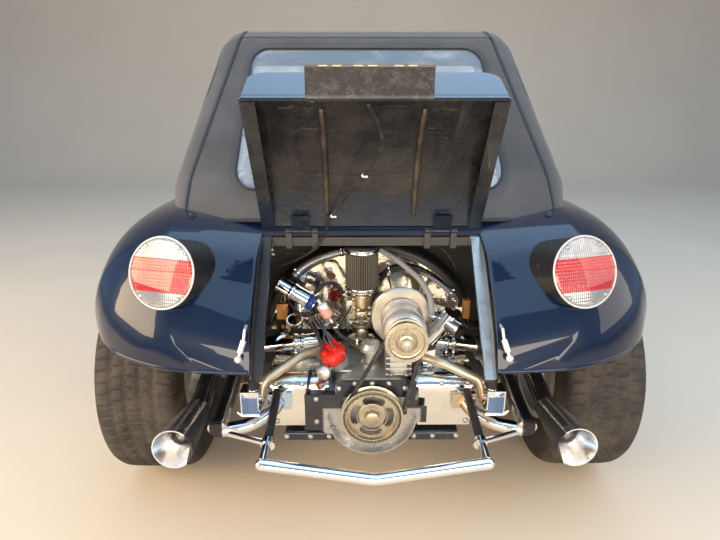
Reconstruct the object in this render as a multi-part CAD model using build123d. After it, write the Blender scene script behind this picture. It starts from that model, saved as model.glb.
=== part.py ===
from build123d import *
import math
import os

# A rear-engined open two-seater with a moulded body on a short platform chassis.
# Millimetres. X points right, Y forward, Z up. The origin is on the ground at mid length.

# Driving dimensions
WHEELBASE = 2040
REAR_OVERHANG = 676
FRONT_OVERHANG = 600
LENGTH = REAR_OVERHANG + WHEELBASE + FRONT_OVERHANG
REAR_Y = REAR_OVERHANG - LENGTH / 2
FRONT_Y = REAR_Y + WHEELBASE

REAR_TYRE_R = 340
REAR_TYRE_W = 235
REAR_TYRE_X = 667
FRONT_TYRE_R = 308
FRONT_TYRE_W = 175
FRONT_TYRE_X = 652
RIM_R = 190
KINGPIN_X = 566

SKIN = 6
BAY_HALF = 300
HINGE_Y = REAR_Y - 220
HINGE_Z = 844
TAIL_Y = REAR_Y - 500
TAIL_Z = 548
LID_CHORD = math.hypot(HINGE_Y - TAIL_Y, HINGE_Z - TAIL_Z)
LID_BULGE = 48
LID_SHUT_ANGLE = math.degrees(math.atan2(TAIL_Z - HINGE_Z, TAIL_Y - HINGE_Y)) % 360
LID_REST_ANGLE = 121
LID_SWING = LID_SHUT_ANGLE - LID_REST_ANGLE

COCKPIT_HALF = 520
SCREEN_FOOT_Y = REAR_Y + 1190
SCREEN_FOOT_Z = 845
SCREEN_TOP_Y = REAR_Y + 1090
SCREEN_TOP_Z = 1350

PULLEY_Y = REAR_Y - 400
CRANK_Z = 380
CRANK_R = 83
ALTERNATOR_X = 86
ALTERNATOR_Z = 600
ALTERNATOR_R = 56

OUT = "parts"


def save(shape, name):
    """Write one sub-part as its own file."""
    os.makedirs(OUT, exist_ok=True)
    export_step(shape, os.path.join(OUT, name + ".step"))


def both_sides(shape):
    """A right-hand piece and its mirror image."""
    return Compound(children=[shape, mirror(shape, about=Plane.YZ)])


def face_of(lines):
    """The flat face that a closed run of lines and arcs bounds."""
    return make_face([edge for line in lines for edge in line.edges()])


def rod(start, end, radius, bore=0):
    """A round bar, or a pipe with a bore, from one point to another."""
    start, end = Vector(*start), Vector(*end)
    plane = Plane(origin=start, z_dir=end - start)
    ring = Circle(radius)
    if bore:
        ring = ring - Circle(bore)
    return extrude(plane * ring, (end - start).length)


def bent_tube(points, bends, radius, bore=0):
    """A tube along straight runs joined by arcs, one bend radius for each inner point."""
    path = FilletPolyline(*points, radius=bends)
    start = Plane(origin=path @ 0, z_dir=path % 0)
    ring = Circle(radius)
    if bore:
        ring = ring - Circle(bore)
    return sweep(start * ring, path=path)


def turned(outline, origin, direction):
    """A lathe-turned piece from (radius, distance) points about an axis."""
    face = make_face(Polyline(*[(r, 0, d) for r, d in outline], close=True))
    solid = revolve(face, Axis.Z)
    return Plane(origin=origin, z_dir=direction) * solid


def block(centre, size, tilt=0):
    """A box by its centre and size, turned about X by tilt degrees."""
    return Pos(*centre) * Rot(tilt, 0, 0) * Box(*size)


def side_prism(points, x_from, x_to):
    """A shape drawn in side view as (y, z) points, run across from one x to the other."""
    face = make_face(Polyline(*[(x_from, y, z) for y, z in points], close=True))
    return extrude(face, x_to - x_from, dir=(1, 0, 0))


# Cross-sections of the moulded body from tail to nose.
# Columns: distance of the section ahead of its axle, height of the middle,
# height of the wing, half width, corner radius, height of the lower edge.
REAR_SECTIONS = [
    (-500, 552, 598, 470, 40, 540),
    (-485, 590, 640, 545, 75, 540),
    (-470, 628, 680, 590, 110, 540),
    (-440, 680, 738, 640, 150, 540),
    (-400, 722, 790, 685, 185, 540),
    (-350, 765, 830, 718, 205, 520),
    (-300, 802, 856, 742, 220, 480),
    (-150, 846, 884, 775, 235, 400),
    (60, 850, 884, 788, 230, 300),
    (330, 846, 868, 760, 190, 255),
    (620, 840, 846, 690, 130, 255),
    (900, 846, 838, 650, 110, 255),
]
FRONT_SECTIONS = [
    (-1140, 846, 838, 650, 110, 255),
    (-840, 858, 836, 655, 120, 260),
    (-500, 842, 812, 700, 150, 300),
    (-200, 796, 800, 738, 180, 320),
    (100, 732, 776, 742, 190, 330),
    (320, 644, 712, 712, 170, 330),
    (470, 540, 596, 640, 130, 330),
    (545, 436, 468, 540, 70, 330),
]


def between(rows, steps):
    """Rows of a table with more rows between them, on a cubic curve through its own."""
    out = []
    last = len(rows) - 1
    for i in range(last):
        before, here, after, beyond = [rows[min(max(i + k, 0), last)] for k in (-1, 0, 1, 2)]
        for step in range(steps):
            t = step / steps
            out.append(
                tuple(
                    b + 0.5 * t * (c - a + t * (2 * a - 5 * b + 4 * c - d + t * (3 * (b - c) + d - a)))
                    for a, b, c, d in zip(before, here, after, beyond)
                )
            )
    return out + [rows[-1]]


def body_section(row, axle_y, inset=0, ahead=0, drop=0):
    """One cross-section: level middle, rise to the wing, round shoulder, plain side."""
    offset, z_mid, z_wing, half, radius, z_low = row
    y = axle_y + offset + ahead
    z_mid, z_wing, half = z_mid - inset, z_wing - inset, half - inset
    radius = max(radius - inset, 8)
    z_low = z_low - drop
    x_flat = BAY_HALF + 10
    x_wing = half - radius
    turn = radius * math.sqrt(0.5)
    right = [
        Line((0, y, z_mid), (x_flat, y, z_mid)),
        Line((x_flat, y, z_mid), (x_wing, y, z_wing)),
        ThreePointArc(
            (x_wing, y, z_wing),
            (x_wing + turn, y, z_wing - radius + turn),
            (half, y, z_wing - radius),
        ),
        Line((half, y, z_wing - radius), (half, y, z_low)),
    ]
    left = [mirror(edge, about=Plane.YZ) for edge in right]
    base = Line((half, y, z_low), (-half, y, z_low))
    return face_of(right + left + [base])


def body_loft(rows, axle_y, inset=0, ahead=0, drop=0):
    """A solid through a table of cross-sections."""
    faces = [body_section(row, axle_y, inset, ahead, drop) for row in between(rows, 3)]
    return loft(faces, ruled=True)


def cockpit_cut():
    """The open cockpit in side view: high behind, low sides, up to the cowl."""
    outline = FilletPolyline(
        (-800, REAR_Y + 330, 900),
        (-800, REAR_Y + 480, 560),
        (-800, REAR_Y + 1080, 540),
        (-800, REAR_Y + 1180, 900),
        radius=[110, 90],
    )
    top = Line((-800, REAR_Y + 1180, 900), (-800, REAR_Y + 330, 900))
    side_cut = extrude(face_of([outline, top]), 1600, dir=(1, 0, 0))
    well = block((0, REAR_Y + 605, 700), (2 * COCKPIT_HALF, 1150, 500))
    return side_cut + well


def wheel_cuts():
    """The round openings in the sides over the wheels, right-hand side."""
    rear = rod((380, REAR_Y, REAR_TYRE_R), (900, REAR_Y, REAR_TYRE_R), REAR_TYRE_R + 48)
    front = rod((330, FRONT_Y, FRONT_TYRE_R), (900, FRONT_Y, FRONT_TYRE_R), FRONT_TYRE_R + 62)
    return [rear, front]


def tail_trim():
    """What is cut away below the rolled lip that rises outwards round the tail."""
    lip = [(290, 300), (290, 560), (480, 572), (640, 590), (760, 612), (820, 622), (820, 300)]
    face = make_face(Polyline(*[(x, TAIL_Y - 20, z) for x, z in lip], close=True))
    return extrude(face, 400, dir=(0, 1, 0))


def body_core(inset=SKIN, drop=60):
    """The space inside the moulding, front and rear together."""
    rear = body_loft(REAR_SECTIONS, REAR_Y, inset, 0.8 * inset, drop)
    front = body_loft(FRONT_SECTIONS, FRONT_Y, inset, -0.8 * inset, drop)
    return rear, front


def body_blank():
    """The whole moulding before its openings are cut: outer form less inner form."""
    rear_core, front_core = body_core()
    rear = body_loft(REAR_SECTIONS, REAR_Y) - rear_core
    front = body_loft(FRONT_SECTIONS, FRONT_Y) - front_core
    return rear + front


def hood_zone(gap=0):
    """The region of the front that the removable hood panel takes up."""
    return block((0, FRONT_Y - 60, 750), (620 + gap, 640 + gap, 500))


def body_shell(blank):
    """The moulded body with cockpit, wheel arches, engine opening and hood opening."""
    shell = blank - cockpit_cut()
    for cut in wheel_cuts() + [tail_trim()]:
        shell = shell - cut - mirror(cut, about=Plane.YZ)
    bay = block((0, HINGE_Y - 188, 640), (2 * BAY_HALF, 404, 600))
    return largest(shell - bay - hood_zone(2))


def front_hood(blank):
    """The removable panel between the front wings."""
    return largest(blank & hood_zone())


def largest(shape):
    """The main solid of a result that may have trimmed slivers beside it."""
    return max(shape.solids(), key=lambda solid: solid.volume)


def inner_tub():
    """The inner moulding: sill caps, quarter walls, rear shelf, firewall and toe board."""
    rear_core, front_core = body_core()
    wall = 5
    sill_y = REAR_Y + 780
    shelf_z = 470
    right = block((650, sill_y, 546), (100, 600, wall))
    right += block((600, sill_y, 393), (wall, 600, 311))
    right += block((COCKPIT_HALF - wall / 2, REAR_Y + 255, 545), (wall, 460, 580))
    right += block((COCKPIT_HALF + 40, REAR_Y + 482, 392), (85, wall, 310))
    right += block((561, REAR_Y + 1082, 538), (85, wall, 602))
    right += block((COCKPIT_HALF, REAR_Y + 1362, 538), (wall, 560, 602))
    tub = right + mirror(right, about=Plane.YZ)
    tub += block((0, REAR_Y + 27, (shelf_z + 845) / 2), (2 * COCKPIT_HALF, wall, 845 - shelf_z))
    tub += block((0, REAR_Y + 230, shelf_z), (2 * COCKPIT_HALF - 2, 410, wall))
    tub += block((0, REAR_Y + 435, 362), (2 * COCKPIT_HALF - 2, wall, 220))
    tub += block((0, REAR_Y + 1640, 538), (2 * COCKPIT_HALF, wall, 602))
    return largest((tub & (rear_core + front_core)) - floor_pan())


def floor_pan():
    """The platform: ribbed floor, central tunnel, frame head and the rear fork."""
    pan = block((0, REAR_Y + 990, 235), (1205, 1300, 4))
    rib_count = 6
    for side in (-1, 1):
        for k in range(rib_count):
            pan += block((side * (150 + 75 * k), REAR_Y + 900, 239), (22, 800, 6))
    tunnel = rod((0, REAR_Y + 340, 300), (0, REAR_Y + 1640, 300), 68)
    tunnel += block((0, REAR_Y + 990, 268), (136, 1300, 64))
    head = side_prism(
        [
            (REAR_Y + 1640, 236),
            (REAR_Y + 1640, 368),
            (FRONT_Y + 97, 430),
            (FRONT_Y + 97, 248),
            (FRONT_Y - 40, 248),
            (FRONT_Y - 70, 306),
            (FRONT_Y - 160, 306),
            (FRONT_Y - 200, 240),
        ],
        -60,
        60,
    )
    fork = rod((60, REAR_Y + 345, 300), (175, REAR_Y + 200, 330), 30)
    fork += rod((175, REAR_Y + 205, 330), (175, REAR_Y + 60, 330), 30)
    torsion = rod((-447, REAR_Y + 330, 318), (447, REAR_Y + 330, 318), 46)
    return largest(pan + tunnel + head + fork + mirror(fork, about=Plane.YZ) + torsion)


AXLE_TUBES = [262, 412]
AXLE_ARM_X = 430


def front_axle_beam():
    """Two torsion tubes, damper towers, trailing arms and the king-pin carriers."""
    tube_y = FRONT_Y + 125
    pieces = []
    for z in AXLE_TUBES:
        pieces.append(rod((-446, tube_y, z), (446, tube_y, z), 27))
    for side in (-1, 1):
        x = side * AXLE_ARM_X
        pieces.append(block((side * 400, tube_y, 420), (12, 60, 340)))
        for z in AXLE_TUBES:
            pieces.append(block((x, FRONT_Y + 62, z), (18, 130, 34)))
        pieces.append(block((x, FRONT_Y, 337), (30, 34, 200)))
        for z in (245, 397):
            pieces.append(block((side * 500, FRONT_Y, z), (150, 30, 18)))
            pieces.append(rod((side * KINGPIN_X, FRONT_Y, z - 9), (side * KINGPIN_X, FRONT_Y, z + 9), 17))
        pieces.append(rod((side * KINGPIN_X, FRONT_Y, 240), (side * KINGPIN_X, FRONT_Y, 402), 8))
        pieces.append(rod((side * 380, FRONT_Y + 62, 262), (side * 430, FRONT_Y + 62, 262), 9))
        pieces.append(damper((side * 380, FRONT_Y + 62, 262), (side * 392, FRONT_Y + 112, 560)))
    return fused(pieces)


def fused(pieces):
    """One shape from a list of overlapping pieces."""
    result = pieces[0]
    for piece in pieces[1:]:
        result = result + piece
    return result


def knuckle(side):
    """Steering knuckle: barrel on the king-pin, stub axle, back plate, steering arm."""
    x = side * KINGPIN_X
    z = FRONT_TYRE_R
    barrel = rod((x, FRONT_Y, 256), (x, FRONT_Y, 386), 18, 8.4)
    stub = rod((x + side * 15, FRONT_Y, z), (side * (FRONT_TYRE_X + 8), FRONT_Y, z), 13)
    plate = rod((x + side * 20, FRONT_Y, z), (x + side * 24, FRONT_Y, z), 112)
    arm = bent_tube(
        [
            (x - side * 4, FRONT_Y - 14, 300),
            (x - side * 10, FRONT_Y - 60, 300),
            (side * TRACK_ARM_X, FRONT_Y - TRACK_ARM, 300),
        ],
        [40],
        9,
    )
    return barrel + stub + plate + arm


TRACK_ARM_X = 545
TRACK_ARM = 110


def track_rod():
    """The cross rod below the two steering arms, with an eye at each end."""
    y = FRONT_Y - TRACK_ARM
    z = 276
    bar = rod((-TRACK_ARM_X, y, z), (TRACK_ARM_X, y, z), 9)
    for side in (-1, 1):
        bar += rod((side * TRACK_ARM_X, y, z - 11), (side * TRACK_ARM_X, y, z + 9), 13)
    return bar


def tyre(side, x_mid, y_axle, radius, width):
    """A tyre with a flat tread between shoulders, bulged walls and beads on the rim."""
    w = width / 2
    outline = [
        (RIM_R - 4, -w * 0.78),
        (RIM_R + 10, -w * 0.83),
        (RIM_R + 26, -w * 0.96),
        (RIM_R + (radius - RIM_R) * 0.55, -w),
        (radius - 22, -w * 0.97),
        (radius - 5, -w * 0.86),
        (radius, -w * 0.6),
        (radius, w * 0.6),
        (radius - 5, w * 0.86),
        (radius - 22, w * 0.97),
        (RIM_R + (radius - RIM_R) * 0.55, w),
        (RIM_R + 26, w * 0.96),
        (RIM_R + 10, w * 0.83),
        (RIM_R - 4, w * 0.78),
    ]
    return turned(outline, (side * x_mid, y_axle, radius), (1, 0, 0))


def rim(side, x_mid, y_axle, wheel_radius, width, dish):
    """A cast wheel: barrel with lips, dished face with five windows, hub and brake drum."""
    w = width / 2 * 0.86
    barrel = [
        (RIM_R - 4.5, -w),
        (RIM_R + 8, -w),
        (RIM_R + 8, -w - 5),
        (RIM_R - 12, -w - 5),
        (RIM_R - 22, -w + 20),
        (RIM_R - 22, w - 30),
        (RIM_R - 12, w + 5),
        (RIM_R + 8, w + 5),
        (RIM_R + 8, w),
        (RIM_R - 4.5, w),
        (RIM_R - 15, w - 30),
        (RIM_R - 15, -w + 20),
    ]
    face = [
        (0, dish),
        (62, dish),
        (100, dish - 16),
        (RIM_R - 21, dish - 6),
        (RIM_R - 21, dish + 6),
        (100, dish - 2),
        (62, dish + 16),
        (36, dish + 18),
        (32, dish + 34),
        (0, dish + 34),
    ]
    origin = (side * x_mid, y_axle, wheel_radius)
    direction = (side, 0, 0)
    disc = turned(face, origin, direction)
    plane = Plane(origin=origin, z_dir=direction)
    windows = 5
    for k in range(windows):
        slot = Rot(0, 0, 90 + 360 / windows * k) * Pos(122, 0, dish - 40) * extrude(
            RectangleRounded(56, 62, 20), 80
        )
        disc = disc - plane * slot
    drum = turned([(16, dish - 60), (110, dish - 60), (118, dish - 52), (118, dish - 16), (16, dish - 2)], origin, direction)
    return turned(barrel, origin, direction) + disc + drum


def transaxle():
    """Gearbox case, axle bells, swing-axle tubes and the outer brake plates."""
    z = REAR_TYRE_R
    case = turned(
        [(0, -116), (96, -116), (100, -104), (104, -60), (78, 0), (60, 160), (42, 250), (0, 255)],
        (0, REAR_Y, 330),
        (0, 1, 0),
    )
    side = turned(
        [(0, 40), (105, 60), (100, 84), (44, 100), (34, 120), (34, 470), (62, 476), (62, 492), (0, 492)],
        (0, REAR_Y, z),
        (1, 0, 0),
    )
    return case + side + mirror(side, about=Plane.YZ)


def rear_suspension():
    """Spring plates from the torsion tube to the axle flanges, each with its damper."""
    plate = side_prism(
        [
            (REAR_Y + 360, 285),
            (REAR_Y + 360, 352),
            (REAR_Y + 40, 392),
            (REAR_Y - 100, 382),
            (REAR_Y - 100, 296),
            (REAR_Y + 40, 292),
        ],
        448,
        460,
    )
    plate -= rod((400, REAR_Y, REAR_TYRE_R), (500, REAR_Y, REAR_TYRE_R), 36)
    pin = rod((412, REAR_Y - 80, 316), (450, REAR_Y - 80, 316), 8)
    strut = damper((412, REAR_Y - 80, 316), (396, REAR_Y - 60, 640))
    return both_sides(plate + pin + strut)


def damper(foot, top):
    """A telescopic damper: body, dust cover and eyes, from its lower to its upper eye."""
    foot, top = Vector(*foot), Vector(*top)
    length = (top - foot).length
    outline = [
        (0, -14),
        (14, -14),
        (14, 12),
        (22, 20),
        (22, length * 0.5),
        (29, length * 0.5),
        (29, length - 22),
        (14, length - 14),
        (14, length + 14),
        (0, length + 14),
    ]
    return turned(outline, foot, top - foot)


def save_running_gear():
    """Axles, wheels and what carries them."""
    save(front_axle_beam(), "front_axle_beam")
    save(track_rod(), "track_rod")
    save(transaxle(), "transaxle")
    save(rear_suspension(), "rear_suspension")
    for side, name in ((-1, "left"), (1, "right")):
        save(knuckle(side), "knuckle_" + name)
        save(tyre(side, FRONT_TYRE_X, FRONT_Y, FRONT_TYRE_R, FRONT_TYRE_W), "front_tyre_" + name)
        save(rim(side, FRONT_TYRE_X, FRONT_Y, FRONT_TYRE_R, FRONT_TYRE_W, 32), "front_rim_" + name)
        save(tyre(side, REAR_TYRE_X, REAR_Y, REAR_TYRE_R, REAR_TYRE_W), "rear_tyre_" + name)
        save(rim(side, REAR_TYRE_X, REAR_Y, REAR_TYRE_R, REAR_TYRE_W, 20), "rear_rim_" + name)


CASE_Y = REAR_Y - 245
CASE_TOP = 475
TIN_TOP = 468


def engine_case():
    """Flat-four crankcase with finned barrels, heads, rocker covers and sump plate."""
    case = block((0, CASE_Y, CASE_TOP - 100), (200, 250, 200))
    case = fillet(case.edges().filter_by(Axis.Y), 36)
    pieces = [case, rod((0, CASE_Y, 278), (0, CASE_Y, 262), 70)]
    fins = 9
    for side in (-1, 1):
        for y in (CASE_Y - 54, CASE_Y + 54):
            pieces.append(rod((side * 90, y, 385), (side * 262, y, 385), 42))
            for k in range(fins):
                x = side * (112 + 16 * k)
                pieces.append(rod((x, y, 385), (x + side * 5, y, 385), 53))
        pieces.append(block((side * 290, CASE_Y, 385), (60, 214, 100)))
        cover = block((side * 333, CASE_Y, 374), (26, 196, 76))
        outer_face = cover.faces().sort_by(Axis.X)[-1 if side > 0 else 0]
        pieces.append(fillet(outer_face.edges(), 10))
    return fused(pieces)


def cylinder_tins():
    """Bright sheet covers arched over each pair of barrels, open below and outboard."""
    length = 234
    x, width, height = 200, 164, 146
    outer = block((x, CASE_Y + 4, TIN_TOP - height / 2), (width, length, height))
    outer = fillet(outer.edges().filter_by(Axis.X).group_by(Axis.Z)[-1], 40)
    inner = block((x, CASE_Y + 4, TIN_TOP - 3 - height / 2), (width - 5, length - 5, height + 1))
    inner = fillet(inner.edges().filter_by(Axis.X).group_by(Axis.Z)[-1], 38)
    tin = outer - inner
    for end_x in (x - width / 2, x + width / 2):
        tin -= block((end_x, CASE_Y, 381), (20, 400, 120))
    return both_sides(tin)


def fan_shroud():
    """The tall cooling housing: a wide arch with a rounded rim, its ducts and side port."""
    radius = 345
    centre_z = 776 - radius
    foot = 500 - centre_z
    arch = Circle(radius) - Pos(0, foot - radius) * Rectangle(2 * radius, 2 * radius)
    plane = Plane(origin=(0, REAR_Y - 105, centre_z), x_dir=(1, 0, 0), z_dir=(0, -1, 0))
    housing = extrude(plane * arch, -118) & block((0, REAR_Y, 640), (612, 400, 400))
    housing = fillet(housing.edges().filter_by(GeomType.CIRCLE), 16)
    pieces = [housing]
    y = REAR_Y - 200
    for side in (-1, 1):
        duct = bent_tube(
            [(side * 268, REAR_Y - 100, 545), (side * 258, y + 8, 506), (side * 348, y, 484)],
            [30],
            21,
        )
        pieces.append(duct)
        pieces.append(
            bent_tube(
                [(side * 150, y, 508), (side * 345, y, 484), (side * 386, y + 24, 466)], [40], 21
            )
        )
    for clamp_x in (-221, -201, 224, 245):
        pieces.append(rod((clamp_x - 6, y, 499), (clamp_x + 6, y, 498.6), 25))
    boss = [(0, 0), (58, 0), (58, 124), (80, 130), (88, 134), (88, 140), (84, 144), (0, 144)]
    pieces.append(turned(boss, (ALTERNATOR_X, REAR_Y - 105, ALTERNATOR_Z), (0, -1, 0)))
    port = rod((-238, REAR_Y - 100, 606), (-222, REAR_Y - 198, 572), 24)
    pieces.append(port)
    return fused(pieces) - rod((-235.6, REAR_Y - 115, 601), (-221, REAR_Y - 204, 570), 20)


def alternator():
    """Generator body against its backing plate, with a strap and a finned pedestal."""
    x, z = ALTERNATOR_X, ALTERNATOR_Z
    y = PULLEY_Y + 25
    outline = [(0, 0), (30, 0), (54, 8), (59, 16), (59, 40), (56, 44), (56, 92), (59, 96), (59, 121), (0, 121)]
    pieces = [turned(outline, (x, y, z), (0, 1, 0)), rod((x, y + 56, z), (x, y + 76, z), 58)]
    pieces.append(block((x - 14, y + 62, (CASE_TOP + z - 40) / 2), (46, 76, z - 40 - CASE_TOP)))
    fins = 4
    for k in range(fins):
        pieces.append(block((x - 14, y + 60, CASE_TOP + 6 + 16 * k), (70, 88, 5)))
    return fused(pieces)


def v_pulley(centre, radius, hub_r, window_count=0):
    """A V-belt pulley: two flanges, a groove, a dished web, a hub and kidney-shaped windows."""
    outline = [
        (0, -8),
        (hub_r, -8),
        (hub_r, -2),
        (radius * 0.80, -2),
        (radius * 0.84, -13),
        (radius, -13),
        (radius, -10),
        (radius - 14, -4),
        (radius - 14, 4),
        (radius, 10),
        (radius, 13),
        (radius * 0.84, 13),
        (radius * 0.80, 4),
        (hub_r, 4),
        (hub_r, 12),
        (0, 12),
    ]
    pulley = turned(outline, centre, (0, 1, 0))
    plane = Plane(origin=centre, x_dir=(1, 0, 0), z_dir=(0, 1, 0))
    spread = 46
    kidney = SlotArc(CenterArc((0, 0), radius * 0.57, -spread / 2, spread), radius * 0.28)
    for k in range(window_count):
        slot = Rot(0, 0, 5 + 360 / window_count * k) * Pos(0, 0, -30) * extrude(kidney, 60)
        pulley = pulley - plane * slot
    return pulley


def crank_pulley():
    """The large pulley with four long windows and a centre bolt."""
    centre = (0, PULLEY_Y, CRANK_Z)
    bolt = rod((0, PULLEY_Y - 18, CRANK_Z), (0, PULLEY_Y, CRANK_Z), 15)
    return v_pulley(centre, CRANK_R, 22, 4) + bolt


def alternator_pulley():
    """The small pulley with a ring pressed in its face and a large nut."""
    x, z = ALTERNATOR_X, ALTERNATOR_Z
    centre = (x, PULLEY_Y, z)
    ring = turned([(30, -7), (34, -7), (34, 0), (30, 0)], centre, (0, 1, 0))
    nut = Plane(origin=(x, PULLEY_Y - 24, z), z_dir=(0, 1, 0)) * extrude(RegularPolygon(15, 6), 20)
    return v_pulley(centre, ALTERNATOR_R, 22) + ring + nut


def fan_belt():
    """One closed loop round both pulleys, a little clear of each groove."""
    plane = Plane(origin=(0, PULLEY_Y + 4, 0), x_dir=(1, 0, 0), z_dir=(0, -1, 0))

    def loop(extra):
        big = Pos(0, CRANK_Z) * Circle(CRANK_R - 12.5 + extra)
        small = Pos(ALTERNATOR_X, ALTERNATOR_Z) * Circle(ALTERNATOR_R - 12.5 + extra)
        return make_hull(big.edges() + small.edges())

    return extrude(plane * (loop(9) - loop(0)), 8)


CARB_X = -25
CARB_Y = REAR_Y - 168


def carburettor():
    """Carburettor on its neck, with float bowl and throttle arm, the pump and the filter."""
    outline = [
        (0, CASE_TOP),
        (30, CASE_TOP),
        (30, 488),
        (44, 488),
        (44, 496),
        (20, 502),
        (18, 540),
        (34, 544),
        (34, 554),
        (24, 558),
        (24, 600),
        (34, 606),
        (34, 640),
        (28, 654),
        (0, 654),
    ]
    body = turned(outline, (CARB_X, CARB_Y, 0), (0, 0, 1))
    bowl = block((CARB_X - 32, CARB_Y - 10, 602), (40, 46, 54))
    bowl = fillet(bowl.edges().filter_by(Axis.Z), 12)
    pump = rod((CARB_X + 18, CARB_Y - 12, 585), (CARB_X + 50, CARB_Y - 18, 585), 15)
    lever = rod((CARB_X - 44, CARB_Y - 30, 566), (CARB_X + 44, CARB_Y - 30, 566), 4)
    stays = block((CARB_X, CARB_Y - 27, 566), (12, 20, 14))
    return Compound(
        children=[largest(body + bowl + pump + lever + stays), fuel_pump(), fuel_filter()]
    )


def air_filter():
    """A round pleated filter with end caps."""
    ribs = 36
    r_out, r_in = 46, 42
    ring = []
    for k in range(2 * ribs):
        angle = math.pi * k / ribs
        r = r_out if k % 2 else r_in
        ring.append((CARB_X + r * math.cos(angle), CARB_Y + r * math.sin(angle), 662))
    pleats = extrude(make_face(Polyline(*ring, close=True)), 118)
    caps = rod((CARB_X, CARB_Y, 654), (CARB_X, CARB_Y, 666), 47)
    lid = turned([(0, 0), (47, 0), (47, 10), (42, 14), (0, 16)], (CARB_X, CARB_Y, 776), (0, 0, 1))
    return pleats + caps + lid


# Intake and heat pipes in rear view: centre line points and bend radii, right-hand side.
HEAT_PIPE = [(118, -258, 516), (190, -300, 512), (288, -378, 474), (303, -398, 411)]


def heat_pipes():
    """Bare pipes from the centre out and down to the heads."""
    pipes = []
    for side, back in ((-1, 0), (1, -52)):
        points = [(side * x, REAR_Y + y + back * (x < 200), z) for x, y, z in HEAT_PIPE]
        pipes.append(bent_tube(points, [60, 30], 13))
    return Compound(children=pipes)


def ignition_coil():
    """A round coil lying on the left of the housing, in its clip."""
    start = (-265, REAR_Y - 185, 680)
    end = (-161, REAR_Y - 205, 623)
    body = rod(start, end, 23)
    tower = rod(end, (-150, REAR_Y - 207, 617), 13)
    clip = block((-214, REAR_Y - 152, 652), (36, 90, 30))
    return body + tower + clip


DISTRIBUTOR_FOOT = (-84, REAR_Y - 300, 472)
DISTRIBUTOR_LEAN = (-0.38, -0.3, 0.875)


def distributor():
    """Cast body leaning to the left, with a cap that has four towers round a middle one."""
    foot, axis = Vector(*DISTRIBUTOR_FOOT), Vector(*DISTRIBUTOR_LEAN)
    plane = Plane(origin=foot, z_dir=axis)
    outline = [
        (0, -6),
        (17, -6),
        (17, 8),
        (31, 18),
        (31, 44),
        (36, 45),
        (36, 64),
        (29, 72),
        (29, 80),
        (0, 80),
    ]
    piece = turned(outline, foot, axis) - block((foot.X, foot.Y, CASE_TOP - 20), (90, 90, 40))
    towers = 4
    for k in range(towers):
        piece += plane * (Rot(0, 0, 45 + 90 * k) * Pos(20, 0, 80) * Cylinder(8, 26))
    return piece + plane * (Pos(0, 0, 80) * Cylinder(8, 34))


def oil_filler():
    """A slanted filler can on its foot, with a side cap."""
    can = rod((163, REAR_Y - 284, 548), (216, REAR_Y - 304, 636), 22)
    cap = rod((210, REAR_Y - 300, 606), (238, REAR_Y - 334, 597), 24)
    foot = block((162, REAR_Y - 284, (560 + TIN_TOP + 2) / 2), (32, 28, 560 - TIN_TOP - 2))
    return can + cap + foot


def fuel_filter():
    """A clear in-line filter with a stub at each end."""
    top = Vector(-142, REAR_Y - 260, 648)
    foot = Vector(-108, REAR_Y - 272, 594)
    outline = [(0, -12), (4, -12), (4, 0), (15, 7), (15, 43), (4, 50), (4, 64), (0, 64)]
    return turned(outline, top, foot - top)


def fuel_pump():
    """The mechanical pump right of the distributor, with its domed cover."""
    outline = [(0, 0), (26, 0), (26, 10), (18, 14), (18, 44), (32, 48), (32, 58), (24, 70), (0, 74)]
    return turned(outline, (-2, REAR_Y - 292, CASE_TOP), (0, 0, 1))


def engine_tins():
    """Dark breast plates behind the barrels, the pressed guard round the pulley, and lower trays."""
    y = CASE_Y - 134
    guard_r, gap_r = 120, CRANK_R + 4
    left = block((-131, y, 381), (102, 3, 102)) + block((-135, y + 9, 431), (66, 18, 3))
    right = block((122, y, 370), (54, 3, 50)) + block((108, y, 410), (18, 3, 66))
    bridge = block((12, y, 448), (214, 3, 48))
    plane = Plane(origin=(0, y + 1.5, CRANK_Z), x_dir=(1, 0, 0), z_dir=(0, -1, 0))
    upper_half = Pos(0, 90) * Rectangle(300, 200)
    crescent = Circle(guard_r) - Circle(gap_r) - upper_half
    wing = [(-80, -8), (-139, -8), (-146, -46), (-184, -48), (-184, -58), (-142, -60), (-52, -107), (-40, -80)]
    wing = make_face(Polyline(*wing, close=True)) - Circle(gap_r)
    folded_rim = Circle(guard_r) - Circle(guard_r - 3) - upper_half
    guard = extrude(plane * (crescent + wing), 3) + extrude(plane * folded_rim, 26)
    tray = block((172, CASE_Y - 100, 290), (136, 44, 32))
    tray = fillet(tray.edges().filter_by(Axis.X), 10)
    return Compound(
        children=[fused([left, right, bridge, guard]), tray, mirror(tray, about=Plane.YZ)]
    )


# Centre lines of the right-hand exhaust behind the rear axle: from the port to the clamp,
# from the clamp forward, and the tail pipe from the front to the seam of its coned sleeve.
HEADER = [(252, -375, 406), (266, -392, 391), (318, -424, 370), (400, -440, 362)]
COLLECTOR = [(402, -452, 371), (401, -250, 404)]
TAIL_PIPE = [(438, -190, 488), (445, -300, 469), (447, -450, 433)]
SLEEVE_FRONT = (447, REAR_Y - 446, 433)
SLEEVE_TIP = (453, REAR_Y - 632, 448)


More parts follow.
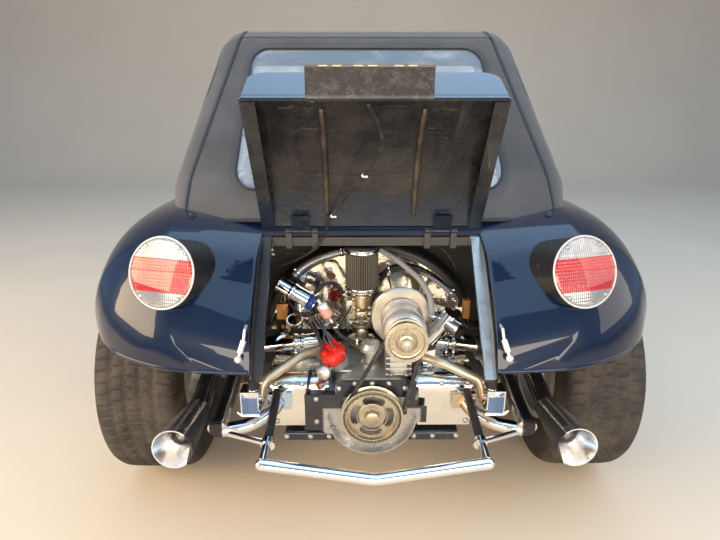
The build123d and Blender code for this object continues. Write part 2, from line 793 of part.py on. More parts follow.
def exhaust():
    """Each side a bright pipe from its port to a clamp, and a tail pipe in a coned sleeve."""
    header, collector, tail = [
        [(x, REAR_Y + y, z) for x, y, z in line] for line in (HEADER, COLLECTOR, TAIL_PIPE)
    ]
    flange = block((250, REAR_Y - 368, 408), (62, 18, 44))
    lower = [bent_tube(header, [60, 110], 18), rod(collector[0], collector[1], 23), flange]
    lower.append(rod((402, REAR_Y - 448, 371.6), (402, REAR_Y - 436, 373.6), 27))
    front, tip = Vector(*SLEEVE_FRONT), Vector(*SLEEVE_TIP)
    length = (tip - front).length
    outline = [
        (0, 0),
        (29, 0),
        (47, length),
        (44.5, length),
        (17, length - 62),
        (17, length - 130),
        (0, length - 130),
    ]
    sleeve = turned(outline, front, tip - front)
    upper = sleeve + bent_tube(tail, [220], 24)
    lower = fused(lower)
    return Compound(
        children=[upper, lower, mirror(upper, about=Plane.YZ), mirror(lower, about=Plane.YZ)]
    )


BUMPER_Z = 399


def rear_bumper():
    """A shallow V of bright tube on two arms with clamps and braces, and two open boxes on legs."""
    bar = bent_tube(
        [(-260, REAR_Y - 622, BUMPER_Z), (0, REAR_Y - 663, BUMPER_Z - 9), (260, REAR_Y - 622, BUMPER_Z)],
        [70],
        13.5,
    )
    pieces = [bar]
    boxes = []
    for side in (-1, 1):
        pieces.append(Pos(side * 260, REAR_Y - 622, BUMPER_Z) * Sphere(13.5))
        pieces.append(rod((side * 256, REAR_Y - 614, 400), (side * 252, REAR_Y - 388, 447), 11))
        pieces.append(rod((side * 252.6, REAR_Y - 567, 409), (side * 252.4, REAR_Y - 553, 412), 17))
        pieces.append(rod((side * 253, REAR_Y - 560, 411), (side * 364, REAR_Y - 474, 376), 7.5))
        box = block((side * 312, REAR_Y - 440, 456), (46, 44, 65))
        box -= block((side * 312, REAR_Y - 446, 456), (40, 44, 59))
        box += rod((side * 306, REAR_Y - 440, 480), (side * 298.5, REAR_Y - 447, 541), 14)
        hook = [(side * 286, 422), (side * 334, 423), (side * 345, 434)]
        for (x_a, z_a), (x_b, z_b) in zip(hook, hook[1:]):
            box += rod((x_a, REAR_Y - 463, z_a), (x_b, REAR_Y - 463, z_b), 3)
        boxes.append(box)
    return Compound(children=[fused(pieces)] + boxes)


def save_engine():
    """The open engine and all that hangs on it."""
    save(engine_case(), "engine_case")
    save(cylinder_tins(), "cylinder_tins")
    save(fan_shroud(), "fan_shroud")
    save(alternator(), "alternator")
    save(crank_pulley(), "crank_pulley")
    save(alternator_pulley(), "alternator_pulley")
    save(fan_belt(), "fan_belt")
    save(carburettor(), "carburettor")
    save(air_filter(), "air_filter")
    save(heat_pipes(), "heat_pipes")
    save(ignition_coil(), "ignition_coil")
    save(distributor(), "distributor")
    save(oil_filler(), "oil_filler")
    save(engine_tins(), "engine_tins")
    save(plug_leads(), "plug_leads")
    save(engine_hoses(), "engine_hoses")
    save(exhaust(), "exhaust")
    save(rear_bumper(), "rear_bumper")


def lid_point(along, out):
    """A point of the open lid in side view: along its chord from the hinge, out from it."""
    a = math.radians(LID_REST_ANGLE)
    return (
        HINGE_Y + along * math.cos(a) + out * math.sin(a),
        HINGE_Z + along * math.sin(a) - out * math.cos(a),
    )


LID_HALF = 294
LID_START = 14


def lid_skin_profile(inset, foot):
    """Side view of the lid between its bulged skin and a line at the given offset."""
    s0, s1 = LID_START + inset, LID_CHORD - inset
    start, top, end = [
        lid_point(s, o) for s, o in ((s0, 0), ((s0 + s1) / 2, LID_BULGE - inset), (s1, 0))
    ]
    a, b = lid_point(s0, foot), lid_point(s1, foot)
    x = -LID_HALF + inset

    def at(point):
        return (x, point[0], point[1])

    lines = [
        ThreePointArc(at(start), at(top), at(end)),
        Line(at(end), at(b)),
        Line(at(b), at(a)),
        Line(at(a), at(start)),
    ]
    return extrude(face_of(lines), 2 * (LID_HALF - inset), dir=(1, 0, 0))


def engine_lid():
    """The open engine lid: bulged skin, raw edge flanges, tail ledge and plate bracket."""
    pan = lid_skin_profile(0, -6) - lid_skin_profile(5, -12)
    pieces = [pan]
    for side in (-1, 1):
        near, far = side * (LID_HALF - 4), side * (LID_HALF - 34)
        strip = [lid_point(20, -6), lid_point(20, -2), lid_point(400, -2), lid_point(400, -6)]
        pieces.append(side_prism(strip, min(near, far), max(near, far)))
        hinge_x = side * 190
        leaf = [lid_point(6, 3), lid_point(60, -2), lid_point(60, -6), lid_point(6, -4)]
        pieces.append(side_prism(leaf, hinge_x - 24, hinge_x + 24))
        pieces.append(
            rod((hinge_x - 24, HINGE_Y, HINGE_Z), (hinge_x + 24, HINGE_Y, HINGE_Z), 7, 3.5)
        )
    edge_y, edge_z = lid_point(LID_CHORD - 4, 2)
    lean = math.radians(24)
    along_ledge = Vector(0, math.cos(lean), math.sin(lean))
    ledge = Plane(
        origin=(0, edge_y, edge_z), x_dir=(1, 0, 0), z_dir=Vector(1, 0, 0).cross(along_ledge)
    )
    outline = Pos(0, 61) * Rectangle(580, 134)
    outline = fillet(outline.vertices().group_by(Axis.Y)[-1], 40)
    pieces.append(extrude(ledge * outline, 5))
    bracket = [
        (edge_y - 14, edge_z),
        (edge_y - 14, edge_z + 62),
        (edge_y + 6, edge_z + 62),
        (edge_y + 6, edge_z),
    ]
    pieces.append(side_prism(bracket, -150, 126))
    return fused(pieces)


def lid_latch():
    """A wire hook with a sprung handle and a ball end, standing just off the skin, right-hand side."""
    foot = (309, REAR_Y - 440, 666)
    knee = (307, REAR_Y - 478, 668)
    grip = (309, REAR_Y - 489, 646)
    grip_end = (317, REAR_Y - 503, 620)
    knob = (321, REAR_Y - 508, 606)
    pieces = [rod(foot, knee, 3.5), Pos(*knee) * Sphere(3.5), rod(knee, grip, 3.5), rod(grip, grip_end, 7)]
    pieces += [rod(grip_end, knob, 3.5), Pos(*knob) * Sphere(9)]
    clearance = 2.5
    return largest(fused(pieces) - body_loft(REAR_SECTIONS, REAR_Y, -clearance, -0.8 * clearance))


STRIP_WIDTH = 27


def bay_frame():
    """The rails of the engine opening: edge webs, seal strips, hinge lugs and latches."""
    shut = math.atan2(TAIL_Z - HINGE_Z, TAIL_Y - HINGE_Y)

    def at(along, out):
        return (
            HINGE_Y + along * math.cos(shut) + out * math.sin(shut),
            HINGE_Z + along * math.sin(shut) - out * math.cos(shut),
        )

    pieces = []
    strip = [at(-4, -14), at(LID_CHORD, -14), at(LID_CHORD, -26), at(-4, -26)]
    web = [at(-4, -26), at(-4, 2), at(110, 20), at(300, 20), at(LID_CHORD, -4), at(LID_CHORD, -26)]
    rail = side_prism(strip, BAY_HALF - STRIP_WIDTH, BAY_HALF) + side_prism(web, BAY_HALF - 4, BAY_HALF)
    right = largest(rail & body_core()[0])
    left = mirror(right, about=Plane.YZ)
    beam = block((0, HINGE_Y + 16, HINGE_Z - 33), (2 * BAY_HALF, 10, 24))
    pieces = [right, left, beam]
    for side in (-1, 1):
        for gap in (-36, 36):
            x = side * 190 + gap
            pieces.append(rod((x - 8, HINGE_Y, HINGE_Z), (x + 8, HINGE_Y, HINGE_Z), 7))
            pieces.append(block((x, HINGE_Y + 7, HINGE_Z - 26), (16, 12, 48)))
        pieces.append(
            rod((side * 190 - 30, HINGE_Y, HINGE_Z), (side * 190 + 30, HINGE_Y, HINGE_Z), 3)
        )
    latch = lid_latch()
    return Compound(children=[fused(pieces), latch, mirror(latch, about=Plane.YZ)])


# Route of the plate lamp cable: x, distance from the hinge along the lid, height under it.
CABLE_ON_LID = [(-16, 398), (14, 340), (22, 282), (-8, 226), (-42, 170), (-74, 118), (-108, 62)]
CABLE_IN_BAY = [(-140, -232, 806), (-178, -222, 776), (-222, -204, 750), (-262, -184, 730)]
CABLE_R = 3.5


def cable_route():
    """The cable's points from the plate bracket down the lid and over into the bay."""
    route = []
    for x, along in CABLE_ON_LID:
        y, z = lid_point(along, -10)
        route.append((x, y, z))
    return route + [(x, REAR_Y + y, z) for x, y, z in CABLE_IN_BAY]


def cord_tube(route, radius, name):
    """A flexible tube of straight runs with an arc at each inner point of its route."""
    points = [Vector(*point) for point in route]
    bends = []
    for before, here, after in zip(points, points[1:], points[2:]):
        turn = (here - before).get_angle(after - here)
        shorter = min((here - before).length, (after - here).length)
        bends.append(0.45 * shorter / math.tan(math.radians(turn / 2)))
    print(name, "bend radii", [round(bend) for bend in bends])
    return bent_tube([tuple(point) for point in points], bends, radius)


def lamp_cable():
    """The plate lamp's cable on the open lid and into the bay."""
    return cord_tube(cable_route(), CABLE_R, "lamp cable")


# Routes in the engine bay: x, distance ahead of the rear axle, height.
# A lead leaves each outer tower of the distributor, and all four run side by side to the housing.
LEAD_STARTS = [
    [(-105, -342, 557), (-113, -348, 575)],
    [(-108, -315, 565), (-116, -321, 583)],
    [(-131, -342, 546), (-139, -348, 564)],
    [(-134, -315, 554), (-142, -321, 572)],
]
LEAD_TAIL = [(-134, -306, 606), (-149, -258, 602), (-152, -212, 574), (-153, -162, 556), (-154, -109, 552)]
COIL_LEAD = [
    (-121.5, -329.6, 559),
    (-129.6, -336, 578),
    (-129, -300, 575),
    (-138, -262, 578),
    (-128, -234, 590),
    (-131, -211, 606),
    (-149, -207.4, 616),
]
TIN_CABLE = [(-168, -320, 472.5), (-171, -352, 468), (-175, -367, 440), (-177, -368, 392), (-180, -371, 340)]
LEAD_R = 3.5


def in_bay(route, shift=(0, 0, 0)):
    """Route points with their distance turned into Y, moved by a shift."""
    return [(x + shift[0], REAR_Y + y + shift[1], z + shift[2]) for x, y, z in route]


def plug_leads():
    """Four leads from the distributor to the housing, the coil's lead and the cable on the tin."""
    leads = []
    for k, start in enumerate(LEAD_STARTS):
        route = in_bay(start) + in_bay(LEAD_TAIL, (-9 * k, -2 * k if k else 0, -3 * k))
        route[-1] = (route[-1][0], REAR_Y - 109, route[-1][2])
        leads.append(cord_tube(route, LEAD_R, "plug lead"))
    leads.append(cord_tube(in_bay(COIL_LEAD), LEAD_R, "coil lead"))
    leads.append(cord_tube(in_bay(TIN_CABLE), LEAD_R, "tin cable"))
    return Compound(children=leads)


# Columns: radius, route.
HOSES = [
    (11, [(-66, -118, 757), (-110, -117.5, 748), (-154, -117.5, 733), (-194, -117.5, 712), (-226, -120, 682)]),
    (
        8,
        [
            (26, -136, 766),
            (70, -140, 742),
            (110, -158, 714),
            (144, -198, 692),
            (164, -250, 666),
            (166, -278, 636),
            (164, -290, 612),
        ],
    ),
    (
        7,
        [
            (30, -122, 668),
            (56, -124, 694),
            (96, -124, 706),
            (138, -124, 700),
            (178, -126, 680),
            (216, -128, 652),
            (250, -128, 622),
        ],
    ),
    (5.5, [(-106.5, -272.6, 591), (-99, -276, 572), (-80, -280, 553), (-56, -286, 543), (-33.5, -290, 539)]),
    (
        5.5,
        [
            (-149.3, -257.5, 659.5),
            (-155, -247, 678),
            (-138, -224, 690),
            (-108, -204, 690),
            (-90, -193, 670),
            (-75, -186, 643),
        ],
    ),
]


def engine_hoses():
    """Breather and fuel hoses round the carburettor and over the housing."""
    return Compound(children=[cord_tube(in_bay(route), radius, "hose") for radius, route in HOSES])


LAMP_X = 502
LAMP_Y = REAR_Y - 440
LAMP_Z = 799
LAMP_R = 88
LAMP_TILT = math.radians(18)
LAMP_YAW = math.radians(15)
LAMP_AXIS = (
    -math.sin(LAMP_YAW) * math.cos(LAMP_TILT),
    math.cos(LAMP_YAW) * math.cos(LAMP_TILT),
    -math.sin(LAMP_TILT),
)


def tail_lamps(outer_body):
    """Round drum housings seated on the curved tail, with a raised rim."""
    drum = turned(
        [(0, 6), (LAMP_R - 3, 6), (LAMP_R - 3, 0), (LAMP_R, 0), (LAMP_R, 12), (LAMP_R - 4, 16)]
        + [(LAMP_R - 4, 150), (0, 150)],
        (LAMP_X, LAMP_Y, LAMP_Z),
        LAMP_AXIS,
    )
    return both_sides(largest(drum - outer_body))


def tail_lamp_lenses():
    """Slightly domed lenses let into the rims."""
    lens = turned(
        [(0, -9), (40, -7), (70, -4), (LAMP_R - 4, 0), (LAMP_R - 4, 5.5), (0, 5.5)],
        (LAMP_X, LAMP_Y, LAMP_Z),
        LAMP_AXIS,
    )
    return both_sides(lens)


HEADLAMP_X = 505
HEADLAMP_Z = 838
HEADLAMP_Y = FRONT_Y + 262


def front_lamps(outer_body):
    """Headlamp bowls on short stalks and small round indicators beside them."""
    bowl = turned(
        [(0, -150), (28, -146), (60, -120), (84, -60), (90, -10), (94, -8), (94, 4), (86, 6), (0, 14)],
        (HEADLAMP_X, HEADLAMP_Y, HEADLAMP_Z),
        (0, 1, 0),
    )
    stalk = rod((HEADLAMP_X, HEADLAMP_Y - 60, HEADLAMP_Z - 20), (HEADLAMP_X, HEADLAMP_Y - 60, 690), 22)
    lamp = largest((bowl + stalk) - outer_body)
    blinker = turned([(0, 0), (30, 0), (30, 40), (22, 52), (0, 56)], (634, FRONT_Y + 250, 700), (0, 1, 0.25))
    blinker = largest(blinker - outer_body)
    return Compound(children=[lamp, blinker, mirror(lamp, about=Plane.YZ), mirror(blinker, about=Plane.YZ)])


def front_bumper():
    """A bent tube across the nose with two arms back to the axle beam."""
    bar_z = 395
    bar = bent_tube(
        [
            (-470, FRONT_Y + 568, bar_z),
            (-360, FRONT_Y + 581, bar_z),
            (360, FRONT_Y + 581, bar_z),
            (470, FRONT_Y + 568, bar_z),
        ],
        [300, 300],
        19,
    )
    pieces = [bar]
    for side in (-1, 1):
        arm = [
            (side * 230, FRONT_Y + 579, bar_z),
            (side * 230, FRONT_Y + 577, 292),
            (side * 230, FRONT_Y + 153, 268),
        ]
        pieces.append(bent_tube(arm, [34], 13))
        pieces.append(Pos(side * 470, FRONT_Y + 568, bar_z) * Sphere(19))
    return fused(pieces)


def screen_plane():
    """The raked plane of the windscreen, origin at its middle, x across and y upwards."""
    foot = Vector(0, SCREEN_FOOT_Y, SCREEN_FOOT_Z)
    top = Vector(0, SCREEN_TOP_Y, SCREEN_TOP_Z)
    normal = (top - foot).cross(Vector(1, 0, 0))
    return Plane(origin=(foot + top) / 2, x_dir=(1, 0, 0), z_dir=-normal), (top - foot).length


def windscreen(outer_body):
    """The frame with its mirrors and wiper arms, and the flat pane."""
    plane, height = screen_plane()
    width = 1130
    outer = RectangleRounded(width, height, 60)
    hole = RectangleRounded(width - 68, height - 68, 30)
    frame = extrude(plane * (outer - hole), 11, both=True)
    pane = extrude(plane * RectangleRounded(width - 69, height - 69, 30), 3, both=True)
    pieces = [frame]
    for side in (-1, 1):
        arm_y, arm_z = SCREEN_FOOT_Y - 26, SCREEN_FOOT_Z + 120
        pieces.append(rod((side * 555, arm_y, arm_z), (side * 660, arm_y - 10, arm_z + 52), 6))
        pieces.append(
            turned(
                [(0, 0), (56, 0), (56, 8), (40, 22), (0, 28)],
                (side * 690, arm_y - 22, arm_z + 86),
                (0, 1, 0),
            )
        )
        pieces.append(rod((side * 660, arm_y - 10, arm_z + 52), (side * 680, arm_y, arm_z + 76), 6))
    return largest(fused(pieces) - outer_body), pane


# The folding top in rear view at each bow, from the hem forward.
# Columns: distance ahead of the rear axle, half width, top height, corner radius, low edge.
TOP_SECTIONS = [
    (-155, 546, 859, 22, 800),
    (-118, 560, 885, 30, 800),
    (-22, 588, 951, 50, 800),
    (18, 598, 979, 62, 800),
    (622, 576, 1398, 92, 800),
    (715, 574, 1430, 98, 800),
    (1040, 556, 1396, 92, 800),
    (1126, 553, 1352, 70, 800),
]


def top_solid(inset, ahead):
    """A solid through the folding top's sections, cloth stretched straight between bows."""
    faces = []
    for offset, half, z_top, radius, z_low in TOP_SECTIONS:
        y = REAR_Y + offset + ahead
        w, top, r = half - inset, z_top - inset, radius - inset
        turn = r * math.sqrt(0.5)
        right = [
            Line((0, y, top), (w - r, y, top)),
            ThreePointArc((w - r, y, top), (w - r + turn, y, top - r + turn), (w, y, top - r)),
            Line((w, y, top - r), (w, y, z_low)),
        ]
        left = [mirror(edge, about=Plane.YZ) for edge in right]
        faces.append(face_of(right + left + [Line((w, y, z_low), (-w, y, z_low))]))
    return loft(faces, ruled=True)


def rear_window_cut():
    """The rounded opening of the rear window, run fore and aft through the slanted cloth."""
    z_low, z_high = 932, 1352
    half_low, half_high = 402, 426
    outline = [(-half_low, z_low), (half_low, z_low), (half_high, z_high), (-half_high, z_high)]
    face = make_face(Polyline(*outline, close=True))
    face = fillet(face.vertices(), 55)
    plane = Plane(origin=(0, REAR_Y - 200, 0), x_dir=(1, 0, 0), z_dir=(0, -1, 0))
    return extrude(plane * face, -780)


def door_opening(edge):
    """The side openings from the rear quarter to the raked screen, less an edge all round."""
    outline = [
        (REAR_Y + 362 + edge, 790),
        (REAR_Y + 362 + edge, 1318 - edge),
        (REAR_Y + 1082 - edge, 1318 - edge),
        (REAR_Y + 1176 - edge, 850),
        (REAR_Y + 1176 - edge, 790),
    ]
    return both_sides(side_prism(outline, 480, 720))


def soft_top(outer_body):
    """The folding top: cloth over the bows, open in front, at the doors and the window."""
    cloth = top_solid(0, 0) - top_solid(7, 9)
    for side_opening in door_opening(0).solids():
        cloth -= side_opening
    cloth -= rear_window_cut()
    plane, height = screen_plane()
    cloth -= plane * Box(1240, height + 8, 30)
    cloth -= block((0, REAR_Y + 1122, 1024), (1240, 40, 620))
    return largest(cloth - outer_body)


def vinyl_windows(outer_body):
    """The clear rear window and the two side curtains."""
    sheet = top_solid(2, 3) - top_solid(4, 6)
    rear = largest(sheet & rear_window_cut())
    right = largest(sheet & door_opening(0).solids()[0])
    side = largest((right & block((0, 0, 1110), (3000, 3000, 520))) - outer_body)
    return Compound(children=[rear, side, mirror(side, about=Plane.YZ)])


def top_bows():
    """Two steel hoops under the cloth with pivots on the quarter walls."""
    hoops = []
    for y_top, y_foot, half, z_top in ((668, 300, 548, 1396), (900, 330, 540, 1388)):
        hoops.append(
            bent_tube(
                [
                    (-503, REAR_Y + y_foot, 820),
                    (-half, REAR_Y + y_top, 1240),
                    (-half + 20, REAR_Y + y_top, z_top - 14),
                    (half - 20, REAR_Y + y_top, z_top - 14),
                    (half, REAR_Y + y_top, 1240),
                    (503, REAR_Y + y_foot, 820),
                ],
                [60, 70, 70, 60],
                9,
            )
        )
    return Compound(children=hoops)


SEAT_X = 290


def seats():
    """Two front seats and the rear bench, each a cushion and a back on low runners."""
    solids = []
    for side in (-1, 1):
        x = side * SEAT_X
        cushion = block((x, REAR_Y + 830, 353), (416, 390, 108), 5)
        cushion = fillet(cushion.edges(), 38)
        back = block((x, REAR_Y + 590, 700), (416, 100, 560), 12)
        back = fillet(back.edges(), 40)
        runner = block((x, REAR_Y + 830, 256), (300, 340, 26))
        solids.append(cushion)
        solids.append(back)
        solids.append(runner)
    bench = fillet(block((0, REAR_Y + 265, 521), (970, 270, 90)).edges(), 30)
    rest = fillet(block((0, REAR_Y + 72, 680), (970, 76, 220)).edges(), 30)
    return Compound(children=solids + [bench, rest])


WHEEL_CENTRE = (-300, REAR_Y + 900, 800)
COLUMN_RAKE = math.radians(28)


def steering_wheel():
    """Rim, three spokes, boss and the turning shaft."""
    axis = (0, math.cos(COLUMN_RAKE), -math.sin(COLUMN_RAKE))
    plane = Plane(origin=WHEEL_CENTRE, x_dir=(1, 0, 0), z_dir=axis)
    wheel = plane * Torus(172, 13)
    wheel += plane * Pos(0, 0, 18) * Cylinder(42, 34)
    spokes = 3
    for k in range(spokes):
        wheel += plane * (Rot(0, 0, -90 + 120 * k) * Pos(100, 0, 6) * Box(144, 30, 5))
    return wheel + plane * Pos(0, 0, 120) * Cylinder(9, 200)


def driver_controls():
    """Column tube, gear lever, handbrake and three pedals."""
    axis = Vector(0, math.cos(COLUMN_RAKE), -math.sin(COLUMN_RAKE))
    start = Vector(*WHEEL_CENTRE) + axis * 60
    column = rod(start, start + axis * 560, 21, 10)
    lever = rod((0, REAR_Y + 900, 370), (0, REAR_Y + 860, 600), 7)
    lever += Pos(0, REAR_Y + 860, 606) * Sphere(22)
    brake = rod((0, REAR_Y + 760, 381), (0, REAR_Y + 560, 436), 9)
    solids = [column, lever, brake]
    for x in (-440, -360, -275):
        pedal = rod((x, REAR_Y + 1560, 241), (x, REAR_Y + 1500, 372), 6)
        pedal += block((x, REAR_Y + 1494, 378), (56, 8, 62), -24)
        solids.append(pedal)
    return Compound(children=solids)


def dashboard():
    """The instrument panel below the cowl, with three round binnacles."""
    panel = side_prism(
        [
            (REAR_Y + 1122, 722),
            (REAR_Y + 1100, 826),
            (REAR_Y + 1180, 834),
            (REAR_Y + 1180, 820),
            (REAR_Y + 1116, 812),
            (REAR_Y + 1134, 722),
        ],
        -513,
        513,
    )
    for x, radius in ((-300, 44), (-170, 34), (-80, 34)):
        panel += rod((x, REAR_Y + 1094, 776), (x, REAR_Y + 1116, 772), radius)
    return panel & (body_core()[0] + body_core()[1])


def save_body(outer_body):
    """Everything above the platform apart from the engine."""
    blank = body_blank()
    frame, pane = windscreen(outer_body)
    save(body_shell(blank), "body_shell")
    save(front_hood(blank), "front_hood")
    save(inner_tub(), "inner_tub")
    save(floor_pan(), "floor_pan")
    save(dashboard(), "dashboard")
    save(frame, "windscreen_frame")
    save(pane, "windscreen_glass")
    save(soft_top(outer_body), "soft_top")
    save(vinyl_windows(outer_body), "vinyl_windows")
    save(top_bows(), "top_bows")
    save(seats(), "seats")
    save(steering_wheel(), "steering_wheel")
    save(driver_controls(), "driver_controls")
    save(engine_lid(), "engine_lid")
    save(bay_frame(), "bay_frame")
    save(lamp_cable(), "lamp_cable")
    save(tail_lamps(outer_body), "tail_lamps")
    save(tail_lamp_lenses(), "tail_lamp_lenses")
    save(front_lamps(outer_body), "front_lamps")
    save(front_bumper(), "front_bumper")


def main():
    rear, front = body_core(inset=-0.5, drop=0)
    save_body(rear + front)
    save_running_gear()
    save_engine()


main()
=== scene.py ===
# %% [markdown]
# # An open buggy with its engine lid up
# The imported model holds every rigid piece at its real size. This lesson dresses it: cloth, tyres, lamps,
# paint, cast metal and the crowded engine. Nothing in the frame is moved. Each new piece is built where
# the frame already has room for it, so no fitting is needed.

# %% Load the frame and keep its box
import math
import bpy
import numpy as np
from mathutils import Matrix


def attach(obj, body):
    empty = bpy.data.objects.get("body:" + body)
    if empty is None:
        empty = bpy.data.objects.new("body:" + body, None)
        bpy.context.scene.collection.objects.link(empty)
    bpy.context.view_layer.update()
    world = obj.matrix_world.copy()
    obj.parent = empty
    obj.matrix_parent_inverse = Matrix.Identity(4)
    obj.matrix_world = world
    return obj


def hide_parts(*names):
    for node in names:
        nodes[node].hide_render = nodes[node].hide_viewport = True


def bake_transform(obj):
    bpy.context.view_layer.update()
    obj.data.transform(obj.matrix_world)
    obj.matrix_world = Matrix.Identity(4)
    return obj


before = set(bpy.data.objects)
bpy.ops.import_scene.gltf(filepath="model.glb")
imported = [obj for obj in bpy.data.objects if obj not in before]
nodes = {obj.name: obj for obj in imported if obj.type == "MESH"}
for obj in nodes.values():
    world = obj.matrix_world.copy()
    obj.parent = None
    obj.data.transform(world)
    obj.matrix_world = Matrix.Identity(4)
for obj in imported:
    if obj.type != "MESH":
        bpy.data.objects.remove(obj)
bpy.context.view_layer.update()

# %% [markdown]
# The car's own dimensions come first. They are the same driving values that the solids were made from,
# here in metres: axles, tyres, lid, lamps and the raked screen. A piece that must meet a solid takes its
# place from these names, so a reader can follow where each number comes from.

# %% The car's main dimensions in metres
REAR_Y = -0.982
FRONT_Y = 1.058
REAR_TYRE = {"x": 0.667, "y": REAR_Y, "r": 0.340, "w": 0.235}
FRONT_TYRE = {"x": 0.652, "y": FRONT_Y, "r": 0.308, "w": 0.175}
RIM_R = 0.190
TREAD_DEPTH = 0.0085
HINGE = np.array([0.0, REAR_Y - 0.220, 0.844])
LID_TILT = math.radians(121)
LID_CHORD = math.hypot(0.280, 0.296)
LID_HALF = 0.294
LID_BULGE = 0.048
LAMP = np.array([0.502, REAR_Y - 0.440, 0.799])
LAMP_R = 0.088
LAMP_TILT = math.radians(18)
LAMP_YAW = math.radians(15)
LENS_BULGE = 0.0078
PULLEY_Y = REAR_Y - 0.400
CARB = np.array([-0.025, REAR_Y - 0.168, 0.475])
CRANK = np.array([0.0, PULLEY_Y, 0.380])
CRANK_R = 0.083
ALTERNATOR = np.array([0.086, PULLEY_Y, 0.600])
DISTRIBUTOR_FOOT = np.array([-0.084, REAR_Y - 0.300, 0.472])
DISTRIBUTOR_AXIS = np.array([-0.38, -0.30, 0.875])
DISTRIBUTOR_AXIS = DISTRIBUTOR_AXIS / np.linalg.norm(DISTRIBUTOR_AXIS)
HEADLAMP = np.array([0.505, FRONT_Y + 0.262, 0.838])
HEADLAMP_R = 0.0845
print("wheelbase", round(FRONT_Y - REAR_Y, 3), "m")

# %% [markdown]
# ## Light, floor and camera
# A glossy dark car shows mostly what surrounds it. A large soft light above and three smaller ones, on the
# left, on the right and low behind the car, give long clean reflections. A pale floor that curves up beyond
# the car keeps its edges readable. The camera stands behind the tail, a little left of the middle, and
# looks down by 18.5 degrees.

# %% Camera, lamps and world
scene = bpy.context.scene
scene.view_settings.view_transform = "Standard"


def add_camera(place, pitch, yaw, lens):
    """A camera turned down by pitch and to the right by yaw, in degrees, with its lens in millimetres."""
    camera = bpy.data.objects.new("camera", bpy.data.cameras.new("camera"))
    camera.location = place
    camera.rotation_euler = (math.radians(90 + pitch), 0, math.radians(-yaw))
    camera.data.lens = lens
    scene.collection.objects.link(camera)
    scene.camera = camera


def add_area_light(name, place, target, size, power, colour):
    """A soft rectangle of light at one place, facing another."""
    light = bpy.data.lights.new(name, "AREA")
    light.shape = "RECTANGLE"
    light.size, light.size_y = size
    light.energy = power
    light.color = colour
    lamp = bpy.data.objects.new(name, light)
    lamp.location = place
    facing = np.array(place) - np.array(target)
    level = math.hypot(facing[0], facing[1])
    lamp.rotation_euler = (math.atan2(level, facing[2]), 0, math.atan2(facing[0], -facing[1]))
    scene.collection.objects.link(lamp)


add_camera((-0.043, -2.632, 1.21), -18.5, 0.48, 27)
add_area_light("roof_light", (0.4, -0.8, 5.0), (0, -0.5, 0.6), (8.0, 7.0), 300, (0.50, 0.74, 1.0))
add_area_light("left_light", (-4.0, -3.2, 2.2), (0, -1.0, 0.6), (3.6, 2.6), 300, (1.0, 0.76, 0.48))
add_area_light("right_light", (4.0, -2.4, 2.4), (0, -1.0, 0.6), (3.4, 3.2), 90, (1.0, 0.88, 0.72))
add_area_light("low_light", (0.2, -4.2, 0.9), (0, -1.2, 0.6), (3.2, 1.0), 90, (1.0, 0.86, 0.68))

# %% [markdown]
# ## A small language for materials
# A shader is a graph of nodes, which is tedious to write by hand. One class wraps a socket and gives it
# the signs of arithmetic, so that a mask is written as a sum. A second class holds a material. It has one
# method that makes a node of any kind, and short ones for the nodes that are used most.

# %% Sockets that do arithmetic
class Field:
    """A number or vector that varies over a surface, as the output socket of a node."""

    def __init__(self, finish, socket):
        self.finish = finish
        self.socket = socket

    def _with(self, operation, first, second):
        return self.finish.node("Math", {"operation": operation}, {0: first, 1: second})

    def __add__(self, other):
        return self._with("ADD", self, other)

    def __radd__(self, other):
        return self._with("ADD", other, self)

    def __sub__(self, other):
        return self._with("SUBTRACT", self, other)

    def __rsub__(self, other):
        return self._with("SUBTRACT", other, self)

    def __mul__(self, other):
        return self._with("MULTIPLY", self, other)

    def __rmul__(self, other):
        return self._with("MULTIPLY", other, self)

    def __lt__(self, other):
        return self._with("LESS_THAN", self, other)

    def __abs__(self):
        return self._with("ABSOLUTE", self, 0)


